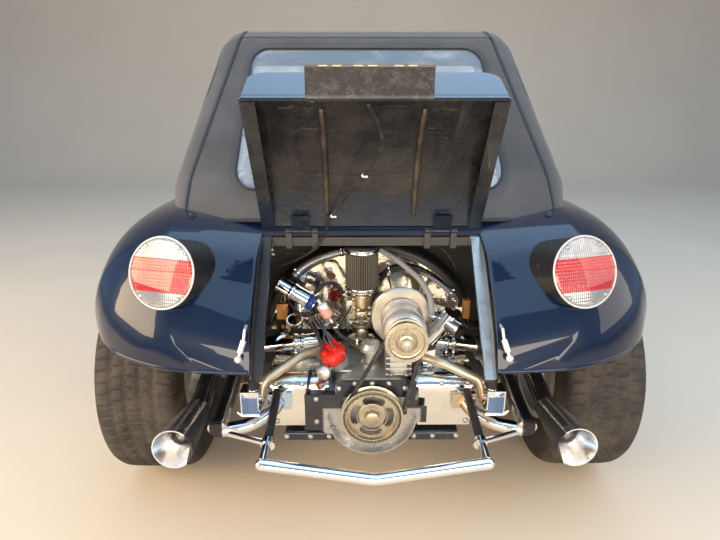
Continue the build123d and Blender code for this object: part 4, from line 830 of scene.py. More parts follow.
def hexagon_bolt(radius, height):
    """A hexagon head on a washer, standing on z = 0."""
    angle = np.arange(6) * math.pi / 3
    ring = np.stack([np.cos(angle), np.sin(angle), 0 * angle], axis=1)
    levels = [(1.35, 0.0), (1.35, 0.2), (1.0, 0.2), (1.0, 0.85), (0.86, 1.0), (0.0, 1.0)]
    points = np.concatenate([ring * radius * r + [0, 0, height * h] for r, h in levels])
    return points, grid_faces(len(levels), 6, close_columns=True)


def copies(shape, places, directions):
    """The same small shape stood at many places, its z turned to each direction."""
    points, faces = shape
    places, directions = np.asarray(places, float), unit(directions)
    helper = np.where(np.abs(directions[:, 2:]) < 0.9, [[0.0, 0.0, 1.0]], [[1.0, 0.0, 0.0]])
    side = unit(np.cross(helper, directions))
    up = np.cross(directions, side)
    turned = (
        points[None, :, :1] * side[:, None]
        + points[None, :, 1:2] * up[:, None]
        + points[None, :, 2:] * directions[:, None]
        + places[:, None]
    )
    offsets = np.arange(len(places))[:, None, None] * len(points)
    return turned.reshape(-1, 3), (faces[None] + offsets).reshape(-1, faces.shape[1])


def joined(*parts):
    """Several (points, faces) pairs as one, with the faces renumbered and each closed part outwards."""
    all_points, all_faces, count = [], [], 0
    for points, faces in parts:
        blocks = faces if isinstance(faces, list) else [faces]
        blocks = [block[:, ::-1] for block in blocks] if inside_out(points, blocks) else blocks
        all_points.append(points)
        all_faces += [block + count for block in blocks]
        count += len(points)
    return np.concatenate(all_points), all_faces


def inside_out(points, blocks):
    """True if the signed volume below the faces is negative: fans of triangles from each first corner."""
    centre = points.mean(axis=0)
    total = 0.0
    for block in blocks:
        corners = points[block] - centre
        for k in range(1, block.shape[1] - 1):
            total += np.einsum("ij,ij->i", corners[:, 0], np.cross(corners[:, k], corners[:, k + 1])).sum()
    return total < 0


def add_piece(name, parts, material, body="chassis"):
    """Joins parts into one mesh object that rides on a body."""
    points, faces = joined(*parts)
    piece = make_mesh(name, points, faces, material)
    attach(piece, body)
    return piece


def store(piece, name, values):
    """Keeps one number per point on a piece, for its material to read."""
    layer = piece.data.attributes.new(name, "FLOAT", "POINT")
    layer.data.foreach_set("value", values.astype(np.float32).ravel())


print("shape helpers ready")

# %% [markdown]
# ## Tyres
# A tyre's tread is what the eye checks first from behind. The carcass is a profile turned about the axle,
# and the tread is cut into it by a height that depends on two angles: grooves that run round, zigzag
# slots across, and blocks with soft edges. The sidewall carries raised rings and fine radial ribs.

# %% Tread and sidewall as a height over the carcass
def tyre_profile(radius, width, count):
    """Half-way points of the section, closer together on the tread, with distance across as t."""
    w = width / 2
    knots = [(RIM_R - 0.004, -0.78), (RIM_R + 0.010, -0.85), (RIM_R + 0.030, -0.955)]
    knots += [(RIM_R + 0.55 * (radius - RIM_R), -1.0), (radius - 0.030, -0.985), (radius - 0.010, -0.91)]
    knots = np.array(knots + [(radius - 0.003, -0.80), (radius, -0.55), (radius, 0.0)])
    knots = np.concatenate([knots, (knots * [1, -1])[-2::-1]])
    steps = np.concatenate([[0], np.cumsum(np.linalg.norm(np.diff(knots * [1, w], axis=0), axis=1))])
    steps /= steps[-1]
    smooth = np.linspace(0, 1, count)
    warped = smooth + 0.045 * np.sin(2 * math.pi * smooth)
    return np.interp(warped, steps, knots[:, 0]), np.interp(warped, steps, knots[:, 1]) * w


def tread_height(angle, across, width, pitches):
    """How deep the tread is cut, from 0 on a block to 1 in a groove."""
    s = across / (width / 2)
    phase = angle * pitches / (2 * math.pi)
    zigzag = 0.035 * np.abs(((phase * 2) % 2) - 1)
    grooves = np.zeros_like(s)
    for centre, half in ((-0.50, 0.050), (-0.17, 0.045), (0.17, 0.045), (0.50, 0.050)):
        distance = np.abs(s - centre - zigzag * np.sign(centre))
        grooves = np.maximum(grooves, np.clip((half - distance) / 0.02 + 0.5, 0, 1))
    lean = phase + 0.55 * s * np.sign(s) + 0.25 * (np.abs(s) > 0.5)
    slot = np.abs((lean % 1.0) - 0.5)
    slots = np.clip((slot - 0.42) / 0.03, 0, 1) * np.clip((0.93 - np.abs(s)) / 0.05, 0, 1)
    sipe = np.abs((lean * 3 % 1.0) - 0.5)
    sipes = 0.35 * np.clip((sipe - 0.45) / 0.03, 0, 1) * (np.abs(s) < 0.48)
    return np.maximum.reduce([grooves, slots, sipes])


def tyre_finish():
    """Black rubber with dust: thick in the grooves and thin on the blocks that touch the track."""
    f = Finish("road_tyre", Roughness=0.8)
    depth = f.node("Attribute", {"attribute_name": "cut"}, output="Fac")
    clouds = f.patches(14, 6, 0.7, 0.34, 0.72)
    grain = f.noise(320, 4, 0.7)
    dust = clouds * 0.55 + depth * 0.30 + grain * 0.12
    return f.link(
        Base_Color=f.mix(dust, (0.0105, 0.0100, 0.0100), (0.105, 0.083, 0.064)),
        Roughness=0.62 + dust * 0.3,
        Normal=f.bump(grain, 0.0006),
    )


TYRE_FINISH = tyre_finish()


def tyre(name, side, size, pitches, around, count, body, node):
    """Carcass point: axle + (across, r cos a, r sin a), with r less the cut of the tread."""
    radius, across = tyre_profile(size["r"], size["w"], count)
    angle = turns(around)
    a, r = np.meshgrid(angle, radius, indexing="ij")
    _, x = np.meshgrid(angle, across, indexing="ij")
    on_tread = np.clip((r - (size["r"] - 0.022)) / 0.006, 0, 1)
    cut = tread_height(a, x, size["w"], pitches) * on_tread
    s = (r - RIM_R) / (size["r"] - RIM_R)
    rings = 0.0016 * (np.abs(s - 0.34) < 0.02) + 0.0016 * (np.abs(s - 0.72) < 0.015)
    ribs = 0.0012 * ((s > 0.76) & (s < 0.93)) * (np.sin(a * 150) > 0)
    x = x + np.sign(x) * (rings + ribs) * (1 - on_tread) - np.sign(x) * 0.0018
    r = r - TREAD_DEPTH * cut * np.where(on_tread > 0.99, 1.0, 0.8)
    points = np.stack([side * size["x"] + x, size["y"] + r * np.sin(a), size["r"] + r * np.cos(a)], axis=2)
    faces = grid_faces(around, count, close_rows=True, close_columns=True)
    faces = faces[:, ::-1] if inside_out(points.reshape(-1, 3), [faces]) else faces
    piece = make_mesh(name, points, faces, TYRE_FINISH)
    store(piece, "cut", cut)
    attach(piece, body)
    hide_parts(node)


for side, word in ((-1, "left"), (1, "right")):
    tyre("rear_tread_" + word, side, REAR_TYRE, 62, 744, 62, "rear_wheel_" + word, "rear_tyre_" + word)
    tyre("front_tread_" + word, side, FRONT_TYRE, 58, 580, 50, "front_wheel_" + word, "front_tyre_" + word)

# %% [markdown]
# ## The folding top
# Canvas is stretched over two hoops from the windscreen to a hem behind the seats. It is sewn from a roof,
# a rear panel round the clear window and a strip over each shoulder. Each of these is a surface of the same
# cross-section: flat in the middle, an arc at the shoulder and a straight side. Stretched cloth sags between
# its hoops and creases, which is a small height added to each surface.

# %% The cross-section of the top
# Columns: distance ahead of the rear axle, half width, height of the top and radius of the shoulder.
TOP_ROWS = [(-0.155, 0.546, 0.859, 0.022), (-0.118, 0.560, 0.885, 0.030), (-0.022, 0.588, 0.951, 0.050)]
TOP_ROWS += [(0.018, 0.598, 0.979, 0.062), (0.622, 0.576, 1.398, 0.092), (0.715, 0.574, 1.430, 0.098)]
TOP_ROWS = np.array(TOP_ROWS + [(1.040, 0.556, 1.396, 0.092), (1.126, 0.553, 1.352, 0.070)])
ROOF_FRONT = 1.126
REAR_BOW = 0.622
DOOR_BACK = 0.362
HEM_BACK = -0.155
PANEL_LOW = 0.859
PANEL_HIGH = 1.398


def hem_height(y):
    """Height of the low edge on the sides: it follows the deck, which rises a little forwards."""
    return np.interp(y, [-0.155, -0.05, 0.10, 0.37], [0.846, 0.862, 0.872, 0.876])


def top_row(y):
    """Half width, top height and shoulder radius of the section at a distance ahead of the rear axle."""
    return [np.interp(y, TOP_ROWS[:, 0], TOP_ROWS[:, k]) for k in (1, 2, 3)]


def cloth_noise(x, y, seed):
    """Soft folds: a sum of a few long waves in directions drawn from a seeded generator."""
    draw = np.random.default_rng(seed)
    full_turn = 6.283
    total = np.zeros_like(x)
    for _ in range(7):
        angle, length, phase = draw.uniform(0, math.pi), draw.uniform(0.10, 0.34), draw.uniform(0, 6.3)
        total += np.sin((x * math.cos(angle) + y * math.sin(angle)) * full_turn / length + phase)
    return total / 7


def shoulder(side, y, depth_end, steps=10, rows=12):
    """The shoulder arc and the side below it, down to a height that depends on y, one row per y."""
    half, top, radius = (v[:, None] for v in top_row(y))
    angle = np.linspace(math.pi / 2, 0, steps)[None, :]
    x = half - radius + radius * np.cos(angle)
    z = top - radius + radius * np.sin(angle)
    fall = np.linspace(0, 1, rows)[None, 1:]
    z_side = (top - radius) + fall * (depth_end[:, None] - (top - radius))
    flare = 0.010 * fall**2 * (y[:, None] < DOOR_BACK)
    x_side = half + 0 * fall + flare
    x, z = np.concatenate([x, x_side], axis=1), np.concatenate([z, z_side], axis=1)
    yy = np.repeat(y[:, None], x.shape[1], axis=1)
    crease = 0.0035 * cloth_noise(yy, z, 5 + side) * np.clip((z - hem_height(yy)) / 0.05, 0, 1)
    return np.stack([side * (x + crease), REAR_Y + yy, z], axis=2)


def rounded_outline(half_width, low, high, radius, steps=9, straight=14):
    """Points round a rounded rectangle in (x, z), counter-clockwise from the lower right corner."""
    corners = [
        ((half_width - radius, low + radius), -math.pi / 2),
        ((half_width - radius, high - radius), 0.0),
        ((-half_width + radius, high - radius), math.pi / 2),
        ((-half_width + radius, low + radius), math.pi),
    ]
    points = []
    for k, (centre, start) in enumerate(corners):
        angle = start + np.linspace(0, math.pi / 2, steps)
        arc = np.array(centre) + radius * np.stack([np.cos(angle), np.sin(angle)], axis=1)
        nxt_centre, nxt_start = corners[(k + 1) % 4]
        nxt = np.array(nxt_centre) + radius * np.array([math.cos(nxt_start), math.sin(nxt_start)])
        run = np.linspace(arc[-1], nxt, straight + 2)[1:-1]
        points += [arc, run]
    return np.concatenate(points)


def ahead_of(z):
    """How far ahead of the rear axle the slanted rear panel is at a height."""
    return np.interp(z, TOP_ROWS[:5, 2], TOP_ROWS[:5, 0])


WINDOW = {"half": 0.402, "low": 0.932, "high": 1.352, "r": 0.055}
WINDOW_SPREAD = 0.024


def window_outline(grow=0.0):
    """The rear window's rounded outline, wider at the top than at the bottom."""
    low, high = WINDOW["low"] - grow, WINDOW["high"] + grow
    outline = rounded_outline(WINDOW["half"] + grow, low, high, WINDOW["r"] + grow)
    share = (outline[:, 1] - low) / (high - low)
    outline[:, 0] *= 1 + share * WINDOW_SPREAD / WINDOW["half"]
    return outline


def rear_panel(steps=14):
    """A ring between the window's outline and the panel's own edge, each in the slanted plane."""
    inner = window_outline()
    middle = (WINDOW["low"] + WINDOW["high"]) / 2
    across = inner[:, 0] / (WINDOW["half"] + WINDOW_SPREAD)
    upward = (inner[:, 1] - middle) / (middle - WINDOW["low"])
    reach = np.maximum(np.abs(across), np.abs(upward))
    outer_z = PANEL_LOW + (upward / reach + 1) / 2 * (PANEL_HIGH - PANEL_LOW)
    half, _, radius = top_row(ahead_of(outer_z))
    outer = np.stack([across / reach * (half - radius), outer_z], axis=1)
    t = np.linspace(0, 1, steps)[:, None, None]
    flat = inner[None] * (1 - t) + outer[None] * t
    x, z = flat[:, :, 0], flat[:, :, 1]
    sag = 0.004 * cloth_noise(x, z, 11) * np.sin(math.pi * t[:, :, 0])
    y = REAR_Y + ahead_of(z) - sag
    return np.stack([x, y, z + sag * 0.6], axis=2)


def roof(rows=26, columns=40):
    """The roof between the shoulders, sagging a little between the hoops."""
    y = np.linspace(REAR_BOW, ROOF_FRONT, rows)
    half, top, radius = (v[:, None] for v in top_row(y))
    x = np.linspace(-1, 1, columns)[None, :] * (half - radius)
    yy = np.repeat(y[:, None], columns, axis=1)
    hoop, span = 0.715, 0.325
    between = np.clip((yy - hoop) / span, 0, 1)
    sag = 0.007 * np.sin(math.pi * between) * np.cos(x * 2.2)
    z = top - sag + 0.0022 * cloth_noise(x, yy, 21) * np.sin(math.pi * between)
    return np.stack([x + 0 * yy, REAR_Y + yy, z], axis=2)


def canvas_finish():
    """Woven canvas, charcoal: two sets of threads, dust, and paler rubbed folds."""
    f = Finish("top_canvas", Roughness=0.85, Sheen_Weight=0.25, Sheen_Roughness=0.5)
    warp = f.node("TexWave", {"bands_direction": "X"}, {"Vector": f.place, "Scale": 160.0})
    weft = f.node("TexWave", {"bands_direction": "Z"}, {"Vector": f.place, "Scale": 160.0})
    weave = (warp + weft) * 0.5
    faded = f.patches(4.5, 5, 0.6, 0.36, 0.72)
    fluff = f.noise(220, 4, 0.7)
    tone = f.mix(faded * 0.65 + fluff * 0.35, (0.019, 0.0185, 0.021), (0.060, 0.057, 0.060))
    low = 1 - f.step(f.axis("Z"), 0.88, 1.02)
    dusty = f.mix(low * 0.35 * fluff, tone, (0.20, 0.17, 0.14))
    return f.link(
        Base_Color=dusty,
        Roughness=0.78 + fluff * 0.15,
        Normal=f.bump(weave + fluff * 0.6, 0.0005),
    )


CANVAS = canvas_finish()


def girth(points):
    """Length of a line of points."""
    return float(np.linalg.norm(np.diff(points, axis=0), axis=1).sum())


def joined_grids(grids):
    """Points and faces of several grids as one; a row says grid, faces turned over, columns closed."""
    all_points, all_faces, count = [], [], 0
    for grid, turned, closed in grids:
        faces = grid_faces(*grid.shape[:2], close_columns=closed)
        all_faces.append((faces[:, ::-1] if turned else faces) + count)
        all_points.append(grid.reshape(-1, 3))
        count += len(all_points[-1])
    return np.concatenate(all_points), all_faces


def soft_top():
    """All panels as one sheet of cloth, and its flat size measured along the panels: across, then along."""
    y = np.concatenate([np.linspace(HEM_BACK, 0.018, 10), np.linspace(0.04, DOOR_BACK - 0.001, 18)])
    y = np.concatenate([y, np.linspace(DOOR_BACK + 0.001, ROOF_FRONT, 48)])
    _, top, radius = top_row(y)
    shoulder_end = top - radius
    side_end = np.where(y < DOOR_BACK, np.minimum(hem_height(y), shoulder_end - 0.002), shoulder_end - 0.030)
    left, right = shoulder(-1, y, side_end), shoulder(1, y, side_end)
    panel, top_sheet = rear_panel(), roof()
    rise = np.ptp(panel.reshape(-1, 3), axis=0)
    across = sum(max(girth(line) for line in surface) for surface in (left, right))
    across += girth(top_sheet[len(top_sheet) // 2])
    along = math.hypot(rise[1], rise[2]) + girth(top_sheet[:, top_sheet.shape[1] // 2])
    grids = [(left, False, False), (right, True, False), (panel, True, True), (top_sheet, True, False)]
    piece = make_mesh("canvas_top", *joined_grids(grids), CANVAS)
    thick = piece.modifiers.new("thickness", "SOLIDIFY")
    thick.thickness = 0.0016
    thick.offset = -1
    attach(piece, "chassis")
    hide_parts("soft_top")
    return piece, (round(across, 2), round(along, 2))


canvas_top, CANVAS_FLAT = soft_top()
canvas_area = np.zeros(len(canvas_top.data.polygons))
canvas_top.data.polygons.foreach_get("area", canvas_area)

# %% [markdown]
# Tape binds the window's edge, the hem and the shoulder seams, and rows of stitches run beside them and over
# the roof. A binding is a thin tube carried along the edge. The stitches are hundreds of tiny capsules, so
# they are copies of one shape with few faces.

# %% Bindings and stitches
def spaced(path, step):
    """Points at equal steps along a path, with the direction of the run at each."""
    path = np.asarray(path, float)
    length = np.concatenate([[0], np.cumsum(np.linalg.norm(np.diff(path, axis=0), axis=1))])
    at = np.arange(step / 2, length[-1], step)
    points = np.stack([np.interp(at, length, path[:, k]) for k in range(3)], axis=1)
    return points, unit(np.gradient(points, axis=0))


def stitch():
    """One stitch lying along z: a capsule with few faces."""
    profile = [(0.0, -0.0024), (0.0007, -0.0016), (0.0007, 0.0016), (0.0, 0.0024)]
    return lathe(profile, (0, 0, 0), (0, 0, 1), 6)


def window_edge(grow, lift=0.0015):
    """The window's outline on the slanted panel, larger by grow, standing a little proud."""
    outline = window_outline(grow)
    closed = np.concatenate([outline, outline[:1]])
    z = np.clip(closed[:, 1], PANEL_LOW, PANEL_HIGH)
    return np.stack([closed[:, 0], REAR_Y + ahead_of(z) - lift, z + lift], axis=1)


def shoulder_line(side, y_from, y_to, lift=0.001):
    """Where the shoulder meets the flat cloth, from hem to roof front."""
    y = np.linspace(y_from, y_to, 90)
    half, top, radius = top_row(y)
    return np.stack([side * (half - radius), REAR_Y + y - lift, top + lift], axis=1)


def hem_line():
    """The low edge of the rear panel and both sides, as one run from door to door."""
    y = np.linspace(DOOR_BACK, HEM_BACK + 0.012, 26)
    half, _, _ = top_row(y)
    right = np.stack([half + 0.003, REAR_Y + y, hem_height(y) + 0.004], axis=1)
    x = np.linspace(0.530, -0.530, 40)
    back = np.stack([x, 0 * x + REAR_Y + HEM_BACK - 0.003, 0 * x + PANEL_LOW - 0.001], axis=1)
    return smooth_path(np.concatenate([right, back, (right * [-1, 1, 1])[::-1]]), 180)


def roof_cross(y, lift=0.0015):
    """A line over the roof from shoulder to shoulder at one distance ahead of the axle."""
    half, top, radius = (float(v) for v in top_row(y))
    angle = np.linspace(0, math.pi / 2, 10)
    arc = (radius + lift) * np.stack([np.cos(angle), np.sin(angle)], axis=1)
    right = np.array([half - radius, top - radius]) + arc
    line = np.concatenate([right, (right * [-1, 1])[::-1]])
    return np.stack([line[:, 0], np.full(len(line), REAR_Y + y), line[:, 1]], axis=1)


BINDING = rubber("binding_tape", (0.008, 0.008, 0.010), 0.3)
THREAD = moulded_plastic("seam_thread", (0.05, 0.055, 0.065), (0.12, 0.12, 0.13), 0.6)


def top_trim():
    """Tape round the window, along the hem and over the shoulders, and rows of stitches."""
    tapes = [tube(window_edge(0.004), 0.0034, 8, up=(0.0, -0.6, 0.8))]
    tapes.append(tube(hem_line(), 0.0052, 8))
    seams = [window_edge(0.016), window_edge(0.024)]
    for side in (-1, 1):
        tapes.append(tube(shoulder_line(side, HEM_BACK + 0.004, 1.12), 0.0022, 6))
        seams.append(shoulder_line(side, HEM_BACK + 0.01, 1.10) + [side * 0.008, 0, 0.0])
    for y in (0.64, 0.90, 1.09):
        seams.append(roof_cross(y))
    add_piece("canvas_binding", tapes, BINDING)
    rows = [spaced(line, 0.0075) for line in seams]
    places = np.concatenate([row[0] for row in rows])
    runs = np.concatenate([row[1] for row in rows])
    add_piece("canvas_stitches", [copies(stitch(), places, runs)], THREAD)
    return len(places)


print(top_trim(), "stitches")

# %% [markdown]
# The windows are flexible sheet, a little wavy and hazy. The rear one follows the slanted panel. Each side
# curtain closes the space from the shoulder to the sill and has a border of the same tape.

# %% Clear windows
def rear_window(rows=20, columns=44):
    """The panel's own plane with a shallow pillow: the middle stands out by a few millimetres."""
    x, z = np.meshgrid(
        np.linspace(-WINDOW["half"] - WINDOW_SPREAD - 0.008, WINDOW["half"] + WINDOW_SPREAD + 0.008, columns),
        np.linspace(WINDOW["low"] - 0.008, WINDOW["high"] + 0.008, rows),
    )
    u, v = x / WINDOW["half"], (z - 1.142) / 0.22
    pillow = 0.006 * np.clip(1 - u**2, 0, 1) * np.clip(1 - v**2, 0, 1) + 0.0016 * cloth_noise(x, z, 31)
    y = REAR_Y + ahead_of(np.clip(z, PANEL_LOW, PANEL_HIGH)) + 0.0045 - pillow
    return np.stack([x, y, z], axis=2)


def side_curtain(side, rows=26, columns=34):
    """A sheet between the slanted shoulder, the door line and the raked screen, bellied outwards."""
    v, u = np.meshgrid(np.linspace(0, 1, rows), np.linspace(0, 1, columns), indexing="ij")
    low, high = 0.856, 1.322
    back = DOOR_BACK - 0.006
    front = 1.172 + v * (1.086 - 1.172)
    y = back + u * (front - back)
    half, top, radius = top_row(y)
    ceiling = np.minimum(top - 0.3 * radius, high)
    z = low + v * (ceiling - low)
    beyond = np.clip((z - (top - radius)) / radius, 0, 1)
    inward = radius * (1 - np.sqrt(np.maximum(1 - beyond**2, 0)))
    belly = 0.006 * np.sin(math.pi * u) * np.sin(math.pi * v) + 0.0025 * cloth_noise(y, z, 41)
    x = half - inward - 0.004 + belly
    return np.stack([side * x, REAR_Y + y, z], axis=2)


def clear_windows():
    """The three sheets as one mesh that stands for the solid windows."""
    grids = [(rear_window(), True, False), (side_curtain(-1), True, False), (side_curtain(1), False, False)]
    piece = make_mesh("vinyl_panes", *joined_grids(grids), VINYL)
    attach(piece, "chassis")
    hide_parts("vinyl_windows")


def curtain_border(side):
    """Tape round one side curtain."""
    s = side_curtain(side)
    loop = np.concatenate([s[0], s[1:, -1], s[-1, -2::-1], s[-2::-1, 0]])
    return tube(smooth_path(loop, 150), 0.0052, 8, up=(1.0, 0.0, 0.0))


clear_windows()
add_piece("curtain_border", [curtain_border(-1), curtain_border(1)], BINDING)
print("windows ready")

# %% [markdown]
# ## Small solids that repeat
# Clamps, nuts, screws and rings turn up all over the car. Each is a profile on a lathe with its corners
# eased, because a sharp edge never catches light. They are gathered by finish into one mesh each.

# %% Rods, rings, screws and clamps
def rod(start, end, radius, ease=0.001, sides=20):
    """A round bar with eased ends: the profile (0, r - e, r, r, r - e, 0) turned about its line."""
    start, end = np.asarray(start, float), np.asarray(end, float)
    length = float(np.linalg.norm(end - start))
    profile = [(0, 0), (radius - ease, 0), (radius, ease), (radius, length - ease), (radius - ease, length)]
    return lathe(profile + [(0, length)], start, end - start, sides)


def ring(centre, axis, radius, section, sides=36, around=8):
    """A torus: a circle of the section's radius turned about an axis."""
    angle = turns(around)
    profile = np.stack([radius + section * np.cos(angle), section * np.sin(angle)], axis=1)
    points, _ = lathe(profile, centre, axis, sides)
    return points, grid_faces(around, sides, close_rows=True, close_columns=True)


def band(centre, axis, radius, width, thick=0.0012, sides=36):
    """A flat hoop round a pipe: the profile of a thin rectangle turned about the pipe's line."""
    w = width / 2
    profile = [(radius, -w), (radius + thick, -w), (radius + thick, w), (radius, w)]
    points, _ = lathe(profile, centre, axis, sides)
    return points, grid_faces(4, sides, close_rows=True, close_columns=True)


def dome_screw(radius, height):
    """A round screw head with a dimple, standing on z = 0."""
    rings = [(1.0, 0.0), (1.0, 0.25), (0.85, 0.7), (0.5, 0.97), (0.28, 1.0), (0.2, 0.55), (0.0, 0.5)]
    return lathe([(radius * r, height * h) for r, h in rings], (0, 0, 0), (0, 0, 1), 12)


def hose_clamp(centre, axis, radius, width, screw_at):
    """A worm-drive clamp: a hoop, its screw housing and the screw, at an angle round the pipe."""
    axis = unit(axis)
    side, up = frame_about(axis)
    out = math.cos(screw_at) * side + math.sin(screw_at) * up
    along = np.cross(axis, out)
    seat = np.asarray(centre) + out * (radius + 0.0035)
    return [
        band(centre, axis, radius, width),
        rod(seat - along * 0.008, seat + along * 0.007, 0.0042, 0.0008, 10),
        rod(seat + along * 0.007, seat + along * 0.0115, 0.003, 0.0006, 6),
    ]


def path_of(points, count):
    """A smooth line through a list of points given in millimetres from the rear axle's line."""
    return smooth_path(np.array([(x, 1000 * REAR_Y + y, z) for x, y, z in points]) / 1000, count)


def place(x, y, z):
    """A point given in millimetres, with y measured from the rear axle."""
    return np.array([x / 1000, REAR_Y + y / 1000, z / 1000])


def rods(rows):
    """Rods from rows of both ends, in millimetres, then radius, ease and sides."""
    return [rod(place(*start), place(*end), *size) for start, end, *size in rows]


def boxes(rows):
    """Rounded boxes from rows of a centre, in millimetres, then size, radius and a turn if there is one."""
    return [rounded_box(place(*centre), *size) for centre, *size in rows]


def wires(routes, count, radius, sides):
    """Tubes of one thickness along smooth lines near the points of each route."""
    return [tube(path_of(route, count), radius, sides) for route in routes]


print("small solids ready")

# %% [markdown]
# ## Tail lamps
# A lamp is a clear drum lens with a red band in its middle. Its face leans back and turns outwards. The
# colour bands follow the lens and not the ground, so each point stores how far up the lens it lies, and the
# material reads that value. The prisms moulded inside show as fine ribs, which is bump in both directions.

# %% Lenses, rims and screws
LAMP_LEVEL = math.cos(LAMP_TILT)
LAMP_FACE = [math.sin(LAMP_YAW) * LAMP_LEVEL, -math.cos(LAMP_YAW) * LAMP_LEVEL, math.sin(LAMP_TILT)]
LAMP_FACE = np.array(LAMP_FACE)


def lamp_frame(side):
    """Centre, outward normal, up and across of one lamp's face."""
    normal = LAMP_FACE * [side, 1, 1]
    up = unit(np.array([0, 0, 1.0]) - normal[2] * normal)
    return LAMP * [side, 1, 1], normal, up, np.cross(up, normal)


def lens_finish():
    """Clear at the top, two reds in the middle and clear below, with moulded prisms."""
    f = Finish("lamp_lens", Coat_Weight=1.0, Coat_Roughness=0.02, Emission_Strength=0.10)
    high = f.node("Attribute", {"attribute_name": "high"}, output="Fac")
    wide = f.node("Attribute", {"attribute_name": "wide"}, output="Fac")
    red = f.between(high, -0.515, -0.500, 0.375, 0.390)
    upper = f.step(high, 0.045, 0.060)
    amber = f.step(abs(wide), 0.80, 0.97) * red * (1 - upper)
    facets = f.node("Math", {"operation": "PINGPONG"}, {0: wide, 1: 0.030}) * 26
    steps = f.node("Math", {"operation": "PINGPONG"}, {0: high, 1: 0.045}) * 20
    haze = f.patches(40, 5, 0.7, 0.45, 0.8)
    reds = f.mix(upper, (0.34, 0.012, 0.016), (0.40, 0.004, 0.010))
    reds = f.mix(amber * 0.7, reds, (0.50, 0.085, 0.02))
    clear = f.mix(haze * 0.5 + facets * 0.25, (0.30, 0.31, 0.33), (0.66, 0.66, 0.66))
    return f.link(
        Base_Color=f.mix(red, clear, reds),
        Metallic=(1 - red) * 0.55,
        Roughness=0.13 + haze * 0.12,
        Emission_Color=f.mix(red, (0.0, 0.0, 0.0), reds),
        Normal=f.bump(facets + steps * (0.3 + upper * 0.4), 0.0012, 0.7),
    )


def lamp_lenses(rings=26, around=112):
    """A dome: out from the rim plane by LENS_BULGE (1 - (r/R)^2), with a rounded shoulder at the edge."""
    share = np.linspace(1, 0, rings)
    radius = (LAMP_R - 0.0035) * share
    out = 0.0015 + LENS_BULGE * (1 - share**2) - 0.0045 * np.clip((share - 0.94) / 0.06, 0, 1) ** 2
    parts, high, wide = [], [], []
    for side in (-1, 1):
        centre, normal, up, across = lamp_frame(side)
        points, faces = lathe(np.stack([radius, out], axis=1), centre, normal, around)
        parts.append((points, faces))
        high.append((points - centre) @ up / LAMP_R)
        wide.append((points - centre) @ across / LAMP_R)
    first, second = parts
    faces = np.concatenate([first[1], second[1] + len(first[0])])
    piece = make_mesh("lamp_lenses", np.concatenate([first[0], second[0]]), faces, lens_finish())
    store(piece, "high", np.concatenate(high))
    store(piece, "wide", np.concatenate(wide))
    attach(piece, "chassis")
    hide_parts("tail_lamp_lenses")


def lamp_trim():
    """A pale moulded rim, three thin lines between the colours and four screws on each lens."""
    rims, lines, screws = [], [], []
    for side in (-1, 1):
        centre, normal, up, across = lamp_frame(side)
        rims.append(ring(centre + normal * 0.0005, normal, LAMP_R - 0.0028, 0.0026, 84, 8))
        for height in (-0.508, 0.0525, 0.382):
            half = math.sqrt(0.955**2 - height**2)
            t = np.linspace(-half, half, 40)
            lift = 0.0018 + LENS_BULGE * (1 - t**2 - height**2)
            line = centre + LAMP_R * (t[:, None] * across + height * up) + lift[:, None] * normal
            lines.append(tube(line, 0.0009, 6, up=normal))
        at = [(0.50, 0.70), (-0.50, 0.70), (0.56, -0.66), (-0.56, -0.66)]
        places = []
        for u, v in at:
            lift = 0.0014 + LENS_BULGE * (1 - u * u - v * v)
            places.append(centre + LAMP_R * (u * across + v * up) + normal * lift)
        screws.append(copies(dome_screw(0.0052, 0.0026), places, [normal] * len(at)))
    pale = moulded_plastic("lamp_rim", (0.52, 0.52, 0.51), (0.3, 0.28, 0.25), 0.25)
    add_piece("lamp_rims", rims, pale)
    add_piece("lamp_lines", lines, RED_CAP)
    add_piece("lamp_screws", screws, STEEL)


lamp_lenses()
lamp_trim()
print("tail lamps ready")

# %% [markdown]
# ## The open lid
# The lid's raw inside shows. Two shallow ribs stiffen it, a bead runs along three of its edges and a steel
# strip with six clips lies on the number plate's box. A point of the lid is given as in side view: so far
# along its chord from the hinge, and so far out from the chord, which makes every piece follow the bulge.

# %% Ribs, edges and the plate strip
def on_lid(x, along, out):
    """A point of the open lid from its distance along the chord and out from it, in metres."""
    x, along, out = np.broadcast_arrays(*(np.asarray(v, float) for v in (x, along, out)))
    y = HINGE[1] + along * math.cos(LID_TILT) + out * math.sin(LID_TILT)
    z = HINGE[2] + along * math.sin(LID_TILT) - out * math.cos(LID_TILT)
    return np.stack([x, y, z], axis=-1)


def inner_skin(along):
    """How far out the lid's inner skin is: a shallow arc, 43 mm at mid chord and level at both ends."""
    u = (along - 0.014) / (LID_CHORD - 0.014) * 2 - 1
    return (LID_BULGE - 0.005) * (1 - u * u)


